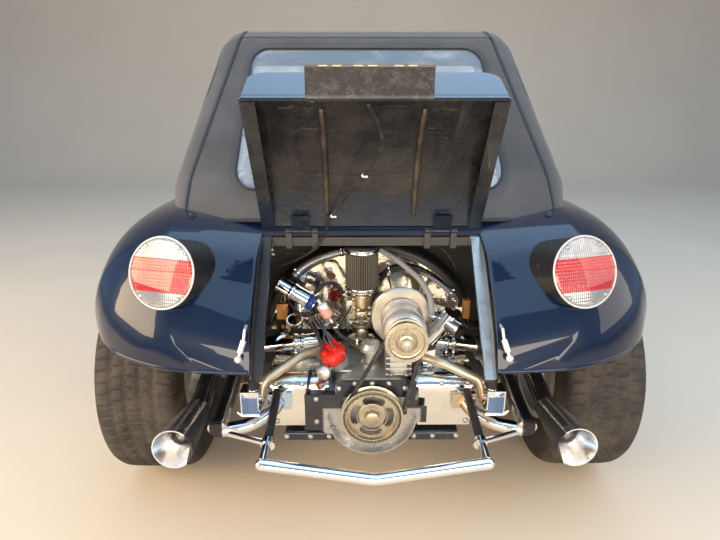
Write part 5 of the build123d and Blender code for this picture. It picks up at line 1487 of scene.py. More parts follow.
def lid_details():
    """Two ribs sunk in the skin, a bead along three edges, and a strip with six clips on the plate box."""
    along = np.linspace(0.05, 0.375, 30)
    ribs = []
    for x in (-0.118, 0.112):
        line = on_lid(x, along, inner_skin(along) - 0.0065)
        thickness = 0.0042 + 0.003 * np.sin(np.linspace(0, math.pi, 30)) ** 0.5
        ribs.append(tube(line, thickness, 12, up=(1, 0, 0)))
    add_piece("lid_ribs", ribs, RESIN, "lid")
    edge = LID_HALF - 0.001
    near, far = 0.018, 0.404
    loop = [on_lid(x, s, 0.0) for x, s in ((-edge, near), (-edge, far), (edge, far), (edge, near))]
    beads = [tube(np.linspace(loop[k], loop[k + 1], 24), 0.0026, 8) for k in range(3)]
    add_piece("lid_edge_bead", beads, RESIN, "lid")
    top = on_lid(0.0, LID_CHORD - 0.004, 0.002) + [0, 0, 0.062]
    strip = [rounded_box(top + [-0.012, -0.004, 0.0035], (0.279, 0.026, 0.005), 0.0022)]
    add_piece("plate_strip", strip, drawn_steel("plate_strip_steel", (0.20, 0.15, 0.09)), "lid")
    slots = []
    for x in (-0.105, -0.075, -0.030, 0.000, 0.055, 0.085):
        slots.append(rounded_box(top + [x - 0.006, -0.0155, 0.0040], (0.020, 0.0050, 0.0032), 0.0012))
    add_piece("plate_clips", slots, drawn_steel("clip_brass", (0.62, 0.47, 0.24)), "lid")


lid_details()
print("lid ready")

# %% [markdown]
# ## The plate lamp's cable
# A twin cable runs down the lid's inside and over its hinge into the bay. Its line is one smooth spline
# that passes near the points of a short list. Two cores lie side by side, so both follow the spline's own
# points, each half its width away.

# %% Twin cable with two ties
CABLE_ON_LID = [(-16, 398), (14, 340), (22, 282), (-8, 226), (-42, 170), (-74, 118), (-108, 62)]
CABLE_IN_BAY = [(-140, -232, 806), (-178, -222, 776), (-222, -204, 750), (-262, -184, 730)]
CABLE_R = 0.0035


def spline_line(route, name):
    """The points of a smooth open NURBS line whose control points are the route."""
    curve = bpy.data.curves.new(name, "CURVE")
    curve.dimensions = "3D"
    curve.resolution_u = 12
    spline = curve.splines.new("NURBS")
    spline.points.add(len(route) - 1)
    spline.points.foreach_set("co", np.column_stack([route, np.ones(len(route))]).ravel())
    spline.order_u = 3
    spline.use_endpoint_u = True
    holder = bpy.data.objects.new(name, curve)
    scene.collection.objects.link(holder)
    bpy.context.view_layer.update()
    mesh = bpy.data.meshes.new_from_object(holder)
    points = np.zeros(3 * len(mesh.vertices))
    mesh.vertices.foreach_get("co", points)
    bpy.data.objects.remove(holder)
    bpy.data.curves.remove(curve)
    bpy.data.meshes.remove(mesh)
    return points.reshape(-1, 3)


def plate_cable():
    """Two cores beside one line, which runs down the lid and into the bay."""
    route = [on_lid(x / 1000, s / 1000, -0.010) for x, s in CABLE_ON_LID]
    route = np.array(route + [place(*point) for point in CABLE_IN_BAY])
    line = spline_line(route, "cable_line")
    length = girth(line)
    run = unit(np.gradient(line, axis=0))
    beside = unit(np.cross(run, [0.0, math.sin(LID_TILT), -math.cos(LID_TILT)]))
    cores = [tube(line + beside * offset, CABLE_R / 2, 10) for offset in (-CABLE_R / 2, CABLE_R / 2)]
    points, faces = joined(*cores)
    piece = make_mesh("plate_cable", points, faces, BELT)
    tuple(on_lid(0, 0.05, 0))
    tuple(place(0, -215, 770))
    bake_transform(piece)
    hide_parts("lamp_cable")
    ties = []
    for share in (0.33, 0.60):
        k = int(share * (len(line) - 1))
        ties.append(band(line[k], run[k], CABLE_R * 1.15, 0.006, 0.0012, 18))
        ties.append(rounded_box(line[k] + beside[k] * 0.006, (0.010, 0.006, 0.005), 0.0012))
    white = moulded_plastic("tie_white", (0.72, 0.71, 0.68), (0.5, 0.46, 0.40), 0.3)
    add_piece("cable_ties", ties, white, "lid")
    return length


print("cable", round(plate_cable(), 3), "m")

# %% [markdown]
# ## Edges and fasteners of the body
# The moulding's tail ends in a rolled lip, which catches the light from the ground. Its place is found by
# looking at the body from behind: a ray at each point of the outline meets the skin, and the lip is a tube
# along those points. Rays from above seat the studs of the folding top.

# %% Rays that find the body's skin
from mathutils.bvhtree import BVHTree


def skin_of(node):
    """A search tree over one solid's triangles."""
    mesh = nodes[node].data
    points = np.zeros(3 * len(mesh.vertices))
    mesh.vertices.foreach_get("co", points)
    corners = [tuple(face.vertices) for face in mesh.polygons]
    return BVHTree.FromPolygons(points.reshape(-1, 3).tolist(), corners)


BODY_SKIN = skin_of("body_shell")


def seen_from(origins, direction):
    """Where rays from each origin first meet the body; an origin whose ray misses is left out."""
    hits = [BODY_SKIN.ray_cast(tuple(origin), tuple(direction), 3.0)[0] for origin in origins]
    return np.array([tuple(hit) for hit in hits if hit is not None])


def tail_lip():
    """A rolled edge along the lower outline of the tail, from the bay to the wheel on each side."""
    x = np.array([302, 360, 420, 480, 540, 600, 640, 700, 750])
    z = np.interp(x, [290, 480, 640, 760, 820], [560, 572, 590, 612, 622]) + 5
    rows = []
    for side in (-1, 1):
        origins = np.stack([side * x / 1000, np.full(len(x), REAR_Y - 1.2), z / 1000], axis=1)
        line = seen_from(origins, (0, 1, 0))
        if len(line) > 4:
            rows.append(tube(smooth_path(line + [0, 0.002, -0.003], 80), 0.0065, 10))
    add_piece("tail_lip", rows, PAINT)
    return len(rows)


def hem_studs():
    """Four dark studs on the deck that hold the top: one at each rear corner and one behind each door."""
    studs, ways = [], []
    for side in (-1, 1):
        for x, y, way in ((0.50, -0.165, (0, -0.2, 1)), (0.618, 0.24, (side * 0.2, 0, 1))):
            hit = seen_from([(side * x, REAR_Y + y, 1.2)], (0, 0, -1))
            if len(hit):
                studs.append(hit[0])
                ways.append(way)
    add_piece("hem_studs", [copies(hexagon_bolt(0.0085, 0.010), studs, ways)], SATIN_BLACK)
    return len(studs)


print(tail_lip(), "lips,", hem_studs(), "studs")

# %% [markdown]
# ## The engine
# The engine is the busiest part of the car, and most of what the eye reads there is small: clamps, screws,
# links, wires and rings. The large castings are solids of the frame. What follows is bolted, clipped or
# pushed onto them. Places are in millimetres, with the distance measured from the rear axle's line.

# %% Pulley faces
def behind(centre, distance):
    """The point of a shaft that lies so far behind its pulley's centre."""
    return centre + [0, -distance, 0]


def shaft_rings(centre, rows):
    """Rings about a shaft from rows of the distance behind the centre, radius, section and sides."""
    return [ring(behind(centre, distance), (0, 1, 0), *size) for distance, *size in rows]


def shaft_rod(centre, start, end, radius, ease, sides):
    """A washer or stud on a shaft, between two distances behind the centre."""
    return rod(behind(centre, start), behind(centre, end), radius, ease, sides)


def pulley_marks():
    """Sixty small dark blocks that paint the shade seen in the crank pulley's holes, and turned rings on both
    pulleys.
    """
    angle = turns(60)
    radius = CRANK_R * 0.90
    face_y = CRANK[1] - 0.0144
    hole = rounded_box((0, 0, 0), (0.0058, 0.0058, 0.0024), 0.0005, steps=2)
    places = np.stack([radius * np.cos(angle), 0 * angle + face_y, CRANK[2] + radius * np.sin(angle)], axis=1)
    # Painted shade: near-black blocks stand where the darkness inside the holes shows.
    dark = moulded_plastic("pulley_hole_shade", (0.012, 0.010, 0.009), (0.03, 0.026, 0.02), 0.6)
    add_piece("pulley_hole_shades", [copies(hole, places, [(0, -1, 0)] * 60)], dark, "crank")
    crank = [shaft_rod(CRANK, 0.020, 0.0172, 0.019, 0.0006, 28)]
    crank += shaft_rings(CRANK, [(0.0088, 0.040, 0.0014, 60), (0.0138, CRANK_R * 0.83, 0.0012, 90)])
    add_piece("crank_rings", crank, PULLEY_ALLOY, "crank")
    rows = [(0.0128, 0.0535, 0.0014, 60), (0.0128, 0.0475, 0.0011, 60), (0.0072, 0.0265, 0.0012, 48)]
    small = shaft_rings(ALTERNATOR, rows) + [shaft_rod(ALTERNATOR, 0.0120, 0.0085, 0.0205, 0.0008, 40)]
    add_piece("small_pulley_rings", small, PULLEY_ALLOY, "alternator_rotor")
    stud = [shaft_rod(ALTERNATOR, 0.0275, 0.020, 0.0072, 0.001, 20)]
    add_piece("alternator_stud", stud, CHROME, "alternator_rotor")


pulley_marks()
print("pulleys marked")

# %% [markdown]
# Worm-drive clamps hold the ducts and hoses. A clamp is described by where it sits, along which line the
# pipe runs and the pipe's radius, so a short table covers them all.

# %% Clamps on ducts and hoses
# Columns: place, direction of the pipe, radius of the pipe, width of the hoop, angle of the screw.
CLAMPS = [
    ((-221, -200, 499), (1, 0, 0), 0.0251, 0.010, -1.9),
    ((-201, -200, 499), (1, 0, 0), 0.0251, 0.010, -1.9),
    ((224, -200, 499), (1, 0, 0), 0.0251, 0.010, -1.9),
    ((245, -200, 499), (1, 0, 0), 0.0251, 0.010, -1.9),
    ((-214, -119, 692), (-0.72, 0, -0.69), 0.0112, 0.009, 1.4),
    ((-84, -117.8, 753), (-0.96, 0, -0.2), 0.0112, 0.008, 1.2),
    ((165, -286, 620), (0, -0.3, -0.95), 0.0083, 0.008, 2.6),
    ((58, -124.2, 695), (0.95, 0, 0.3), 0.0073, 0.007, 1.2),
    ((244, -127.9, 628), (0.74, 0, -0.67), 0.0073, 0.008, 1.2),
    ((-103, -274, 581), (0.35, -0.2, -0.9), 0.0058, 0.006, 2.0),
    ((-40, -289, 540), (0.98, -0.15, -0.1), 0.0058, 0.006, 1.4),
    ((-152, -251, 669), (-0.3, 0.5, 0.8), 0.0058, 0.006, 2.0),
    ((-78, -188, 648), (0.4, 0.2, -0.9), 0.0058, 0.006, 1.0),
]


def clamps():
    """Every clamp of the table as one mesh."""
    parts = []
    for where, along, radius, width, angle in CLAMPS:
        parts += hose_clamp(place(*where), along, radius, width, angle)
    add_piece("clamps", parts, CHROME)
    return len(CLAMPS)


print(clamps(), "clamps")

# %% [markdown]
# The carburettor carries a choke drum, jets, a throttle spring, links and screws. Brass, zinc and steel sit
# side by side, and that mix of colours is what makes it read as a carburettor.

# %% Carburettor fittings
BRASS = drawn_steel("brass", (0.66, 0.46, 0.18))
ZINC = cast_alloy("zinc_plate", (0.58, 0.55, 0.47), 0.3, 0.24)


def spring(start, end, radius, coils, wire=0.0009, count=120):
    """A helix of wire: along the line, with radius (cos, sin) of its turns."""
    start, end = np.asarray(start), np.asarray(end)
    side, up = frame_about(end - start)
    t = np.linspace(0, 1, count)[:, None]
    angle = t * coils * 2 * math.pi
    line = start + t * (end - start) + radius * (np.cos(angle) * side + np.sin(angle) * up)
    return tube(line, wire, 6, up=unit(end - start))


def carburettor_fittings():
    """Choke drum, jets, links, springs, studs and the fuel union, in three finishes."""
    zinc = rods([
        ((16, -186, 622), (44, -196, 622), 0.021, 0.003, 32),
        ((44, -196, 622), (50, -198, 622), 0.0165, 0.002, 32),
    ])
    zinc += boxes([
        ((-25, -199, 588), (0.034, 0.012, 0.020), 0.003),
        ((-62, -192, 612), (0.022, 0.020, 0.044), 0.004),
        ((-6, -205, 566), (0.010, 0.004, 0.034), 0.0015, 0.3),
        ((20, -200, 566), (0.007, 0.016, 0.030), 0.0015, -0.4),
    ])
    zinc += rods([
        ((-25, -192, 527), (-25, -200, 527), 0.016, 0.002, 24),
        ((-58, -172, 566), (-58, -204, 560), 0.006, 0.001, 12),
    ])
    brass = rods([
        ((-36, -203, 606), (-36, -214, 606), 0.0058, 0.001, 6),
        ((-14, -200, 600), (-14, -212, 598), 0.0048, 0.001, 6),
        ((-25, -205, 588), (-25, -212, 588), 0.0060, 0.001, 12),
        ((-50, -202, 640), (-50, -214, 640), 0.0045, 0.001, 6),
        ((-69, -190, 640), (-75, -188, 646), 0.0060, 0.001, 6),
        ((6, -198, 585), (8, -208, 580), 0.0042, 0.0008, 10),
    ])
    brass.append(ring(place(-25, -168, 655), (0, 0, 1), 0.0330, 0.0016, 40))
    steel = rods([
        ((-64, -200, 574), (-22, -204, 556), 0.0016, 0.0004, 8),
        ((24, -204, 572), (34, -214, 520), 0.0016, 0.0004, 8),
        ((-66, -196, 598), (-66, -210, 540), 0.0016, 0.0004, 8),
    ])
    for start, end, radius, coils in (
        ((-10, -208, 570), (24, -212, 548), 0.0036, 11),
        ((-40, -206, 576), (-18, -209, 560), 0.0030, 9),
        ((36, -206, 610), (36, -209, 575), 0.0030, 10),
    ):
        steel.append(spring(place(*start), place(*end), radius, coils))
    bolts, ways = [], []
    for x, y in ((-60, -168), (10, -168), (-25, -205), (-25, -131)):
        bolts.append(place(x, y, 496))
        ways.append((0, 0, 1))
    for x, z in ((-48, 648), (-2, 648), (-48, 607), (-2, 607)):
        bolts.append(place(x, -197, z))
        ways.append((0, -1, 0))
    for angle in (0.6, 2.7, 4.8):
        bolts.append(place(50, -198, 622) + [0, 0.010 * math.cos(angle) - 0.001, 0.012 * math.sin(angle)])
        ways.append((1, -0.3, 0))
    steel.append(copies(hexagon_bolt(0.0050, 0.0045), bolts, ways))
    add_piece("carburettor_zinc", zinc, ZINC)
    add_piece("carburettor_brass", brass, BRASS)
    add_piece("carburettor_links", steel, STEEL)
    return len(zinc) + len(brass) + len(steel)


print(carburettor_fittings(), "carburettor fittings")

# %% [markdown]
# The filter's pleats are a folded sheet: a radius that alternates with the angle. A gauze skin with
# forty-four of them stands just outside the solid, paler on its ridges than in its folds: a painted
# highlight.

# %% Filter gauze and bands
def filter_gauze(folds=44, rows=3):
    """Radius = 47.8 mm less up to 3 mm between folds, carried from foot to cap, and three bright bands."""
    angle = turns(folds * 6)
    radius = 0.0478 - 0.0030 * (0.5 - 0.5 * np.cos(angle * folds)) ** 0.7
    height = np.linspace(0.667, 0.7755, rows)
    a, z = np.meshgrid(angle, height, indexing="ij")
    r = np.repeat(radius[:, None], rows, axis=1)
    x, y = CARB[0] + r * np.cos(a), CARB[1] + r * np.sin(a)
    points = np.stack([x, y, z], axis=2).reshape(-1, 3)
    faces = grid_faces(len(angle), rows, close_rows=True)
    add_piece("filter_gauze", [(points, faces)], GAUZE)
    rows = [(0.7735, 0.0476, 0.0095, 0.0014, 72), (0.6640, 0.0476, 0.0080, 0.0014, 72)]
    rows.append((0.6500, 0.0340, 0.0100, 0.0016, 60))
    bands = [band((CARB[0], CARB[1], z), (0, 0, 1), *size) for z, *size in rows]
    add_piece("filter_bands", bands, SHEET_CHROME)


def gauze_finish():
    """Dark folds and tan ridges, the tan being a painted highlight: a mask on the distance from the filter's
    axis.
    """
    f = Finish("filter_gauze", Roughness=0.5)
    radius = f.distance((float(CARB[0]), float(CARB[1]), 0.0), (1.0, 1.0, 0.0))
    # Painted highlight: the outer ridges of the pleats are coloured tan.
    ridge_highlight = f.step(radius, 0.0460, 0.0474) * (0.6 + f.noise(90, 3) * 0.4)
    return f.link(Base_Color=f.mix(ridge_highlight, (0.010, 0.009, 0.008), (0.17, 0.135, 0.09)))


GAUZE = gauze_finish()
filter_gauze()
print("filter ready")

# %% [markdown]
# Round the block come the coil's band and clip, the distributor's wire clips and vacuum can, wires with
# their ends, and two plain blocks at the bay's edges.

# %% Coil, distributor and wiring
def ignition_fittings():
    """Blue band and terminals on the coil, wire clips and the vacuum can on the distributor."""
    start, end = place(-265, -185, 680), place(-161, -205, 623)
    run = unit(end - start)
    blue = [band(end - run * 0.012, run, 0.0232, 0.020, 0.0012, 40)]
    blue_plastic = moulded_plastic("band_blue", (0.010, 0.045, 0.26), (0.04, 0.10, 0.35), 0.3)
    add_piece("coil_band", blue, blue_plastic)
    caps = [rod(end, end + run * 0.010, 0.020, 0.003, 32)]
    caps.append(rod(end + run * 0.008, end + run * 0.022, 0.0075, 0.002, 16))
    caps.append(ring(DISTRIBUTOR_FOOT + DISTRIBUTOR_AXIS * 0.046, DISTRIBUTOR_AXIS, 0.0355, 0.0016, 40))
    add_piece("coil_cap", caps, BLACK_PLASTIC)
    bright = [band(start + run * 0.045, run, 0.0232, 0.014, 0.0014, 40)]
    bright.append(ring(start + run * 0.003, run, 0.0222, 0.0016, 40))
    for near, far in (((0, -0.012, 0.004), (0, -0.014, 0.004)), ((0, 0.010, -0.006), (0, 0.010, -0.006))):
        bright.append(rod(end + run * 0.008 + near, end + run * 0.016 + far, 0.0026, 0.0006, 8))
    side, up = frame_about(DISTRIBUTOR_AXIS)
    for turn in (0.5, 3.6):
        out = math.cos(turn) * side + math.sin(turn) * up
        line = DISTRIBUTOR_FOOT + np.outer([0.018, 0.034, 0.050, 0.062], DISTRIBUTOR_AXIS)
        line = line + np.outer([0.0325, 0.0345, 0.0385, 0.0365], out)
        bright.append(tube(smooth_path(line, 16), 0.0013, 6))
    add_piece("ignition_clips", bright, CHROME)
    can = place(-128, -350, 484)
    facing = np.array([-0.25, -0.90, 0.20])
    profile = [(0, 0), (0.017, 0), (0.020, 0.004), (0.020, 0.009), (0.016, 0.015), (0, 0.018)]
    grey = [lathe(profile, can, facing, 32), rod(can, place(-96, -318, 490), 0.005, 0.001, 12)]
    grey += rods([((-84, -300, 466), (-84, -300, 476), 0.022, 0.002, 28)])
    grey += boxes([((-70, -330, 478), (0.030, 0.012, 0.006), 0.002)])
    add_piece("vacuum_can", grey, PALE_ALLOY)


def wiring():
    """Thin wires in bunches, each moved a little from its neighbour, single cables, ends and two blocks."""
    draw = np.random.default_rng(7)
    red, dark = [], []
    loop = [(-128, -362, 462), (-140, -372, 470), (-150, -374, 456), (-140, -374, 444), (-128, -370, 452)]
    for k in range(7):
        shift = draw.uniform(-6, 6, 3)
        route = [tuple(np.array(p) + shift * (0.6 if 0 < i < 4 else 0.3)) for i, p in enumerate(loop)]
        (red if k % 3 else dark).extend(wires([route], 30, 0.0011, 6))
    arc = [(-246, -175, 640), (-232, -190, 612), (-206, -206, 596), (-180, -214, 598), (-160, -214, 612)]
    dark += wires([[(x + 3 * k, y - 2 * k, z - 5 * k) for x, y, z in arc] for k in range(3)], 30, 0.0018, 8)
    dark += wires([
        [(-282, -180, 792), (-262, -150, 784), (-225, -140, 782), (-190, -130, 778)],
        [(-284, -190, 752), (-258, -150, 756), (-222, -140, 760), (-190, -126, 752)],
        [(180, -130, 790), (210, -140, 770), (236, -150, 744), (252, -150, 706)],
        [(-100, -214, 600), (-84, -224, 590), (-66, -222, 600), (-56, -206, 618)],
        [(30, -206, 630), (50, -216, 640), (62, -204, 664), (52, -150, 690)],
        [(44, -200, 560), (66, -222, 540), (92, -236, 520), (120, -250, 500)],
        [(-64, -204, 600), (-84, -212, 572), (-96, -236, 540), (-90, -262, 512)],
    ], 36, 0.0022, 8)
    add_piece("red_wires", red, RED_CAP)
    add_piece("black_wires", dark, BELT)
    heights = (792, 779, 766)
    ends = rods([((2 * k - 286, -176, z), (2 * k - 278, -176, z - 2), 0.0035) for k, z in enumerate(heights)])
    ends += rods([((52, -150, 690), (54, -146, 698), 0.004)])
    white = moulded_plastic("end_white", (0.6, 0.59, 0.56), (0.4, 0.38, 0.34), 0.3)
    add_piece("wire_ends", ends, white)
    orange = moulded_plastic("relay_orange", (0.42, 0.17, 0.035), (0.52, 0.28, 0.10), 0.35)
    blocks = boxes([
        ((-258, -150, 581), (0.042, 0.024, 0.050), 0.003),
        ((288, -150, 586), (0.020, 0.024, 0.060), 0.003),
    ])
    add_piece("side_blocks", blocks, orange)
    return len(red) + len(dark)


ignition_fittings()
print(wiring(), "wires")

# %% [markdown]
# Hexagon heads stand in rows on the pressings. Each cylinder head has three bent loops of wire and a short
# round stub beside it.

# %% Bolts and head fittings
def engine_bolts():
    """Hexagon heads on the tins, trays, guard, pedestal and flanges, and wire loops at the heads."""
    back, up = (0, -1, 0), (0, 0, 1)
    outer = [(-262, -359, 452), (-262, -359, 336), (-190, -359, 452)]
    outer += [(262, -359, 452), (262, -359, 336), (190, -359, 452)]
    guard = [(-150, -383, 420), (-150, -383, 350), (-108, -383, 330), (-88, -383, 452), (88, -383, 452)]
    guard += [(0, -383, 466), (-45, -383, 466), (45, -383, 466)]
    trays = [(-235, -300, 469), (-165, -300, 469), (235, -300, 469)]
    trays += [(165, -300, 469), (-235, -180, 469), (235, -180, 469)]
    pedestal = [(52, -318, 484), (92, -318, 484), (52, -366, 484), (92, -366, 484)]
    flanges = [(side * x, -368, 292) for side in (-1, 1) for x in (236, 170, 118)]
    shroud = [(-150, -106, 640), (-70, -106, 560), (210, -106, 640), (-200, -106, 560), (0, -106, 700)]
    rows = [(back, outer), (back, guard), (up, trays), (up, pedestal), (back, flanges), (back, shroud)]
    places, ways = [], []
    for way, points in rows:
        places += [place(*point) for point in points]
        ways += [way] * len(points)
    small = copies(hexagon_bolt(0.0062, 0.005), places, ways)
    add_piece("engine_bolts", [small], STEEL)
    flange = [(252, -366, 424), (268, -366, 420), (276, -366, 404), (264, -366, 390)]
    flange += [(250, -366, 388), (240, -366, 400), (244, -366, 418), (252, -366, 424)]
    upper = [(222, -370, 452), (236, -378, 436), (262, -382, 430), (286, -378, 432), (296, -370, 448)]
    lower = [(226, -372, 446), (244, -384, 424), (272, -386, 416), (292, -378, 424), (300, -372, 440)]
    loops = []
    for side in (-1, 1):
        for points, radius in ((flange, 0.0030), (upper, 0.0016), (lower, 0.0014)):
            loops += wires([[(side * x, y, z) for x, y, z in points]], 40, radius, 8)
        loops += rods([((side * 303, -400, 424), (side * 303, -402, 414), 0.0165, 0.002, 28)])
    add_piece("head_loops", loops, STEEL)
    return len(places)


print(engine_bolts(), "bolts on the engine")

# %% [markdown]
# ## Seats
# A cushion is a closed crowned form. In plan it is a superellipse whose sides are pulled in between the
# corners; in section it is another, crowned above and flat where it rests. Sewn channels are grooves of
# Gaussian section, and the cover between them ripples slightly. A cord of piping runs round the widest line.

# %% Pads, piping and runners
def even_steps(x, y, count):
    """Points spread at equal arc length along a finely sampled curve."""
    run = np.concatenate([[0], np.cumsum(np.hypot(np.diff(x), np.diff(y)))])
    at = np.linspace(0, run[-1], count)
    return np.interp(at, run, x), np.interp(at, run, y)


def power(value, exponent):
    """sign(v) |v|^e, the term of a superellipse."""
    return np.sign(value) * np.abs(value) ** exponent


def pad(centre, size, tilt, facing, channels, cross, rows=74, around=150):
    """Closed cushion: outline superellipse times section superellipse, grooves cut in its upper side."""
    a, b, c = np.asarray(size) / 2
    angle = np.linspace(0, 2 * math.pi, 4001)
    u, v = even_steps(a * power(np.cos(angle), 0.26), b * power(np.sin(angle), 0.26), around + 1)
    u, v = u[:-1], v[:-1]
    pull = 1 - 0.035 * np.clip(1 - (v / b) ** 2, 0, 1) * np.abs(u / a)
    draw = 1 - 0.035 * np.clip(1 - (u / a) ** 2, 0, 1) * np.abs(v / b)
    u, v = u * pull, v * draw
    lift = np.linspace(-math.pi / 2, math.pi / 2, 4001)
    reach, height = even_steps(b * power(np.cos(lift), 0.42), c * power(np.sin(lift), 0.62), rows)
    reach = reach / b
    x, y = reach[:, None] * u, reach[:, None] * v
    z = np.repeat(np.maximum(height, -0.86 * c)[:, None], around, axis=1)
    top = np.clip((z / c - 0.45) / 0.3, 0, 1)
    groove = np.zeros_like(x)
    for line in channels:
        groove += np.exp(-(((x - line * a) / 0.006) ** 2))
    for line in cross:
        groove += np.exp(-(((y - line * b) / 0.006) ** 2))
    puff = 0.0015 * np.sin(37 * x + 11 * y) + 0.0012 * np.sin(53 * y - 17 * x)
    z = z - top * (0.010 * np.clip(groove, 0, 1) - puff) - top * 0.004
    cosine, sine = math.cos(tilt), math.sin(tilt)
    if facing == "up":
        axes = np.array([[1, 0, 0], [0, cosine, sine], [0, -sine, cosine]])
    else:
        axes = np.array([[-1, 0, 0], [0, -sine, cosine], [0, cosine, sine]])
    local = np.stack([x, y, z], axis=2).reshape(-1, 3)
    outline = np.stack([u, v, 0 * u], axis=1)
    faces = grid_faces(rows, around, close_columns=True)
    return (local @ axes + centre, faces), outline @ axes + centre


def closed_tube(line, radius, sides=8):
    """A tube whose last ring joins its first."""
    run = unit(np.roll(line, -1, axis=0) - np.roll(line, 1, axis=0))
    side = unit(np.cross(run, unit(line.mean(axis=0) - line)))
    up = np.cross(side, run)
    ring = circle(turns(sides), side[:, None, :], up[:, None, :])
    points = (line[:, None, :] + radius * ring).reshape(-1, 3)
    return points, grid_faces(len(line), sides, close_rows=True, close_columns=True)


def seat_cover():
    """Black leathercloth: a fine grain, soft creases and dust worn pale on the crowns."""
    f = Finish("seat_cover")
    grain = f.noise(420, 3, 0.6)
    crease = f.noise(24, 4, 0.6)
    worn = f.patches(9, 4, 0.6, 0.5, 0.8)
    return f.link(
        Base_Color=f.mix(worn * 0.35, (0.016, 0.015, 0.015), (0.060, 0.054, 0.048)),
        Roughness=0.42 + grain * 0.16 + worn * 0.1,
        Normal=f.bump(grain * 0.35 + crease * 0.65, 0.0016),
    )


SEAT_COVER = seat_cover()
SEAT_CHANNELS = (-0.56, -0.28, 0, 0.28, 0.56)
BENCH_CHANNELS = (-0.66, -0.33, 0, 0.33, 0.66)
SEATS = [("cushion_", (830, 353), (0.412, 0.386, 0.106), 5, "up", SEAT_CHANNELS, (-0.72,))]
SEATS.append(("seat_back_", (590, 700), (0.412, 0.556, 0.098), 12, "front", SEAT_CHANNELS, (0.62,)))
# Columns: name, centre, size as width, length and thickness, tilt in degrees, facing, channels, cross seams.
PADS = [
    (name + word, (x, *centre), *rest)
    for name, centre, *rest in SEATS
    for x, word in ((-290, "left"), (290, "right"))
]
PADS.append(("bench_cushion", (0, 265, 521), (0.966, 0.266, 0.088), 0, "up", BENCH_CHANNELS, ()))
PADS.append(("bench_rest", (0, 72, 680), (0.966, 0.216, 0.074), 0, "front", BENCH_CHANNELS, ()))
cords = []
for name, where, size, degrees, facing, channels, cross in PADS:
    shape, outline = pad(place(*where), size, math.radians(degrees), facing, channels, cross)
    piece = add_piece(name, [shape], SEAT_COVER)
    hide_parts("seats")
    cords.append(closed_tube(outline, 0.0038))
add_piece("seat_piping", cords, BELT)
runners = []
for x in (-290, 290):
    for out in (-120, 120):
        rows = [((x + out, 830, 256), (0.040, 0.338, 0.024), 0.004)]
        rows.append(((x + out, 900, 278), (0.030, 0.050, 0.062), 0.004))
        rows.append(((x + out, 740, 272), (0.030, 0.050, 0.056), 0.004))
        runners += boxes(rows)
    runners += boxes([((x, 930, 256), (0.290, 0.030, 0.022), 0.004)])
add_piece("seat_runners", runners, SATIN_BLACK)
print(len(PADS), "pads")

# %% [markdown]
# ## Instruments and controls
# Three round dials sit in the dashboard's binnacles. Their faces carry ticks and a needle and no figures.
# The gear lever stands in a ribbed gaiter: a cone whose radius ripples with its height.

# %% Dials, switches and gaiter
def instruments():
    """Bezel, face, ticks and needle of each dial, then switches along the panel."""
    bezels, faces, marks = [], [], []
    for x, radius in ((-300, 0.044), (-170, 0.034), (-80, 0.034)):
        centre = place(x, 1092.5, 776)
        bezels.append(ring(centre, (0, 1, 0), radius * 0.93, 0.0028, 60))
        faces.append(rod(centre + [0, -0.0008, 0], centre + [0, 0.002, 0], radius * 0.90, 0.0004, 48))
        angle = np.radians(np.linspace(-130, 130, 27))
        length = np.where(np.arange(27) % 3 == 0, 0.0052, 0.0028)
        for a, size in zip(angle, length):
            spoke = np.array([math.sin(a), 0, math.cos(a)])
            start = centre + [0, -0.0014, 0] + spoke * radius * 0.82
            marks.append(rod(start, start - spoke * size, 0.0005, 0.0001, 6))
        spoke = np.array([math.sin(-1.7), 0, math.cos(-1.7)])
        middle = centre + [0, -0.0020, 0]
        marks.append(rod(middle - spoke * 0.006, middle + spoke * radius * 0.68, 0.0008, 0.0002, 6))
        marks.append(rod(middle, middle + [0, -0.0020, 0], 0.0036, 0.0006, 20))
    add_piece("dial_bezels", bezels, CHROME)
    add_piece("dial_faces", faces, BLACK_PLASTIC)
    white = moulded_plastic("tick_white", (0.75, 0.74, 0.70), (0.62, 0.60, 0.55), 0.3)
    add_piece("dial_ticks", marks, white)
    across = (60, 100, 140, 180)
    switches = rods([((x, 1094, 758), (x, 1078, 756), 0.008, 0.002, 20) for x in across])
    switches += rods([((x, 1078, 756), (x, 1064, 752), 0.0045, 0.0015, 14) for x in across])
    add_piece("dash_switches", switches, CHROME)


def gaiter():
    """Gaiter radius = 66 mm narrowing to 12 mm, with five ripples of 3.5 mm; and the grips of two levers."""
    t = np.linspace(0, 1, 60)
    radius = 0.054 * (1 - t) ** 1.3 + 0.012 + 0.0035 * np.sin(t * 5 * 2 * math.pi) * (1 - 0.5 * t)
    profile = [(0.0, 0.0)] + [(float(r), float(0.085 * d)) for r, d in zip(radius, t)] + [(0.0, 0.085)]
    start = np.array([0, REAR_Y + 0.893, 0.388])
    add_piece("gear_gaiter", [lathe(profile, start, (0, -0.17, 0.985), 48)], GRAINED)
    knob = [ring(place(0, 862, 588), (0, -0.17, 0.985), 0.0105, 0.003, 32)]
    knob += rods([((0, 600, 424), (0, 556, 436.5), 0.0135, 0.004, 24)])
    add_piece("lever_grips", knob, BLACK_PLASTIC)


instruments()
gaiter()
print("instruments and gaiter ready")

# %% [markdown]
# ## Wheels and front end
# Each wheel has five hexagon nuts, a ring, a cap over the hub and a valve. The headlamps get a bulged glass
# with vertical flutes, a rim and a clamp screw; the indicators get three amber rings and a bright rim.

# %% Wheel nuts, hub caps and valves
# Columns: body, side, tyre and how far the wheel's face lies outwards of its middle.
WHEELS = [
    (end + "_wheel_" + word, side, size, dish)
    for end, size, dish in (("rear", REAR_TYRE, 0.020), ("front", FRONT_TYRE, 0.032))
    for side, word in ((-1, "left"), (1, "right"))
]


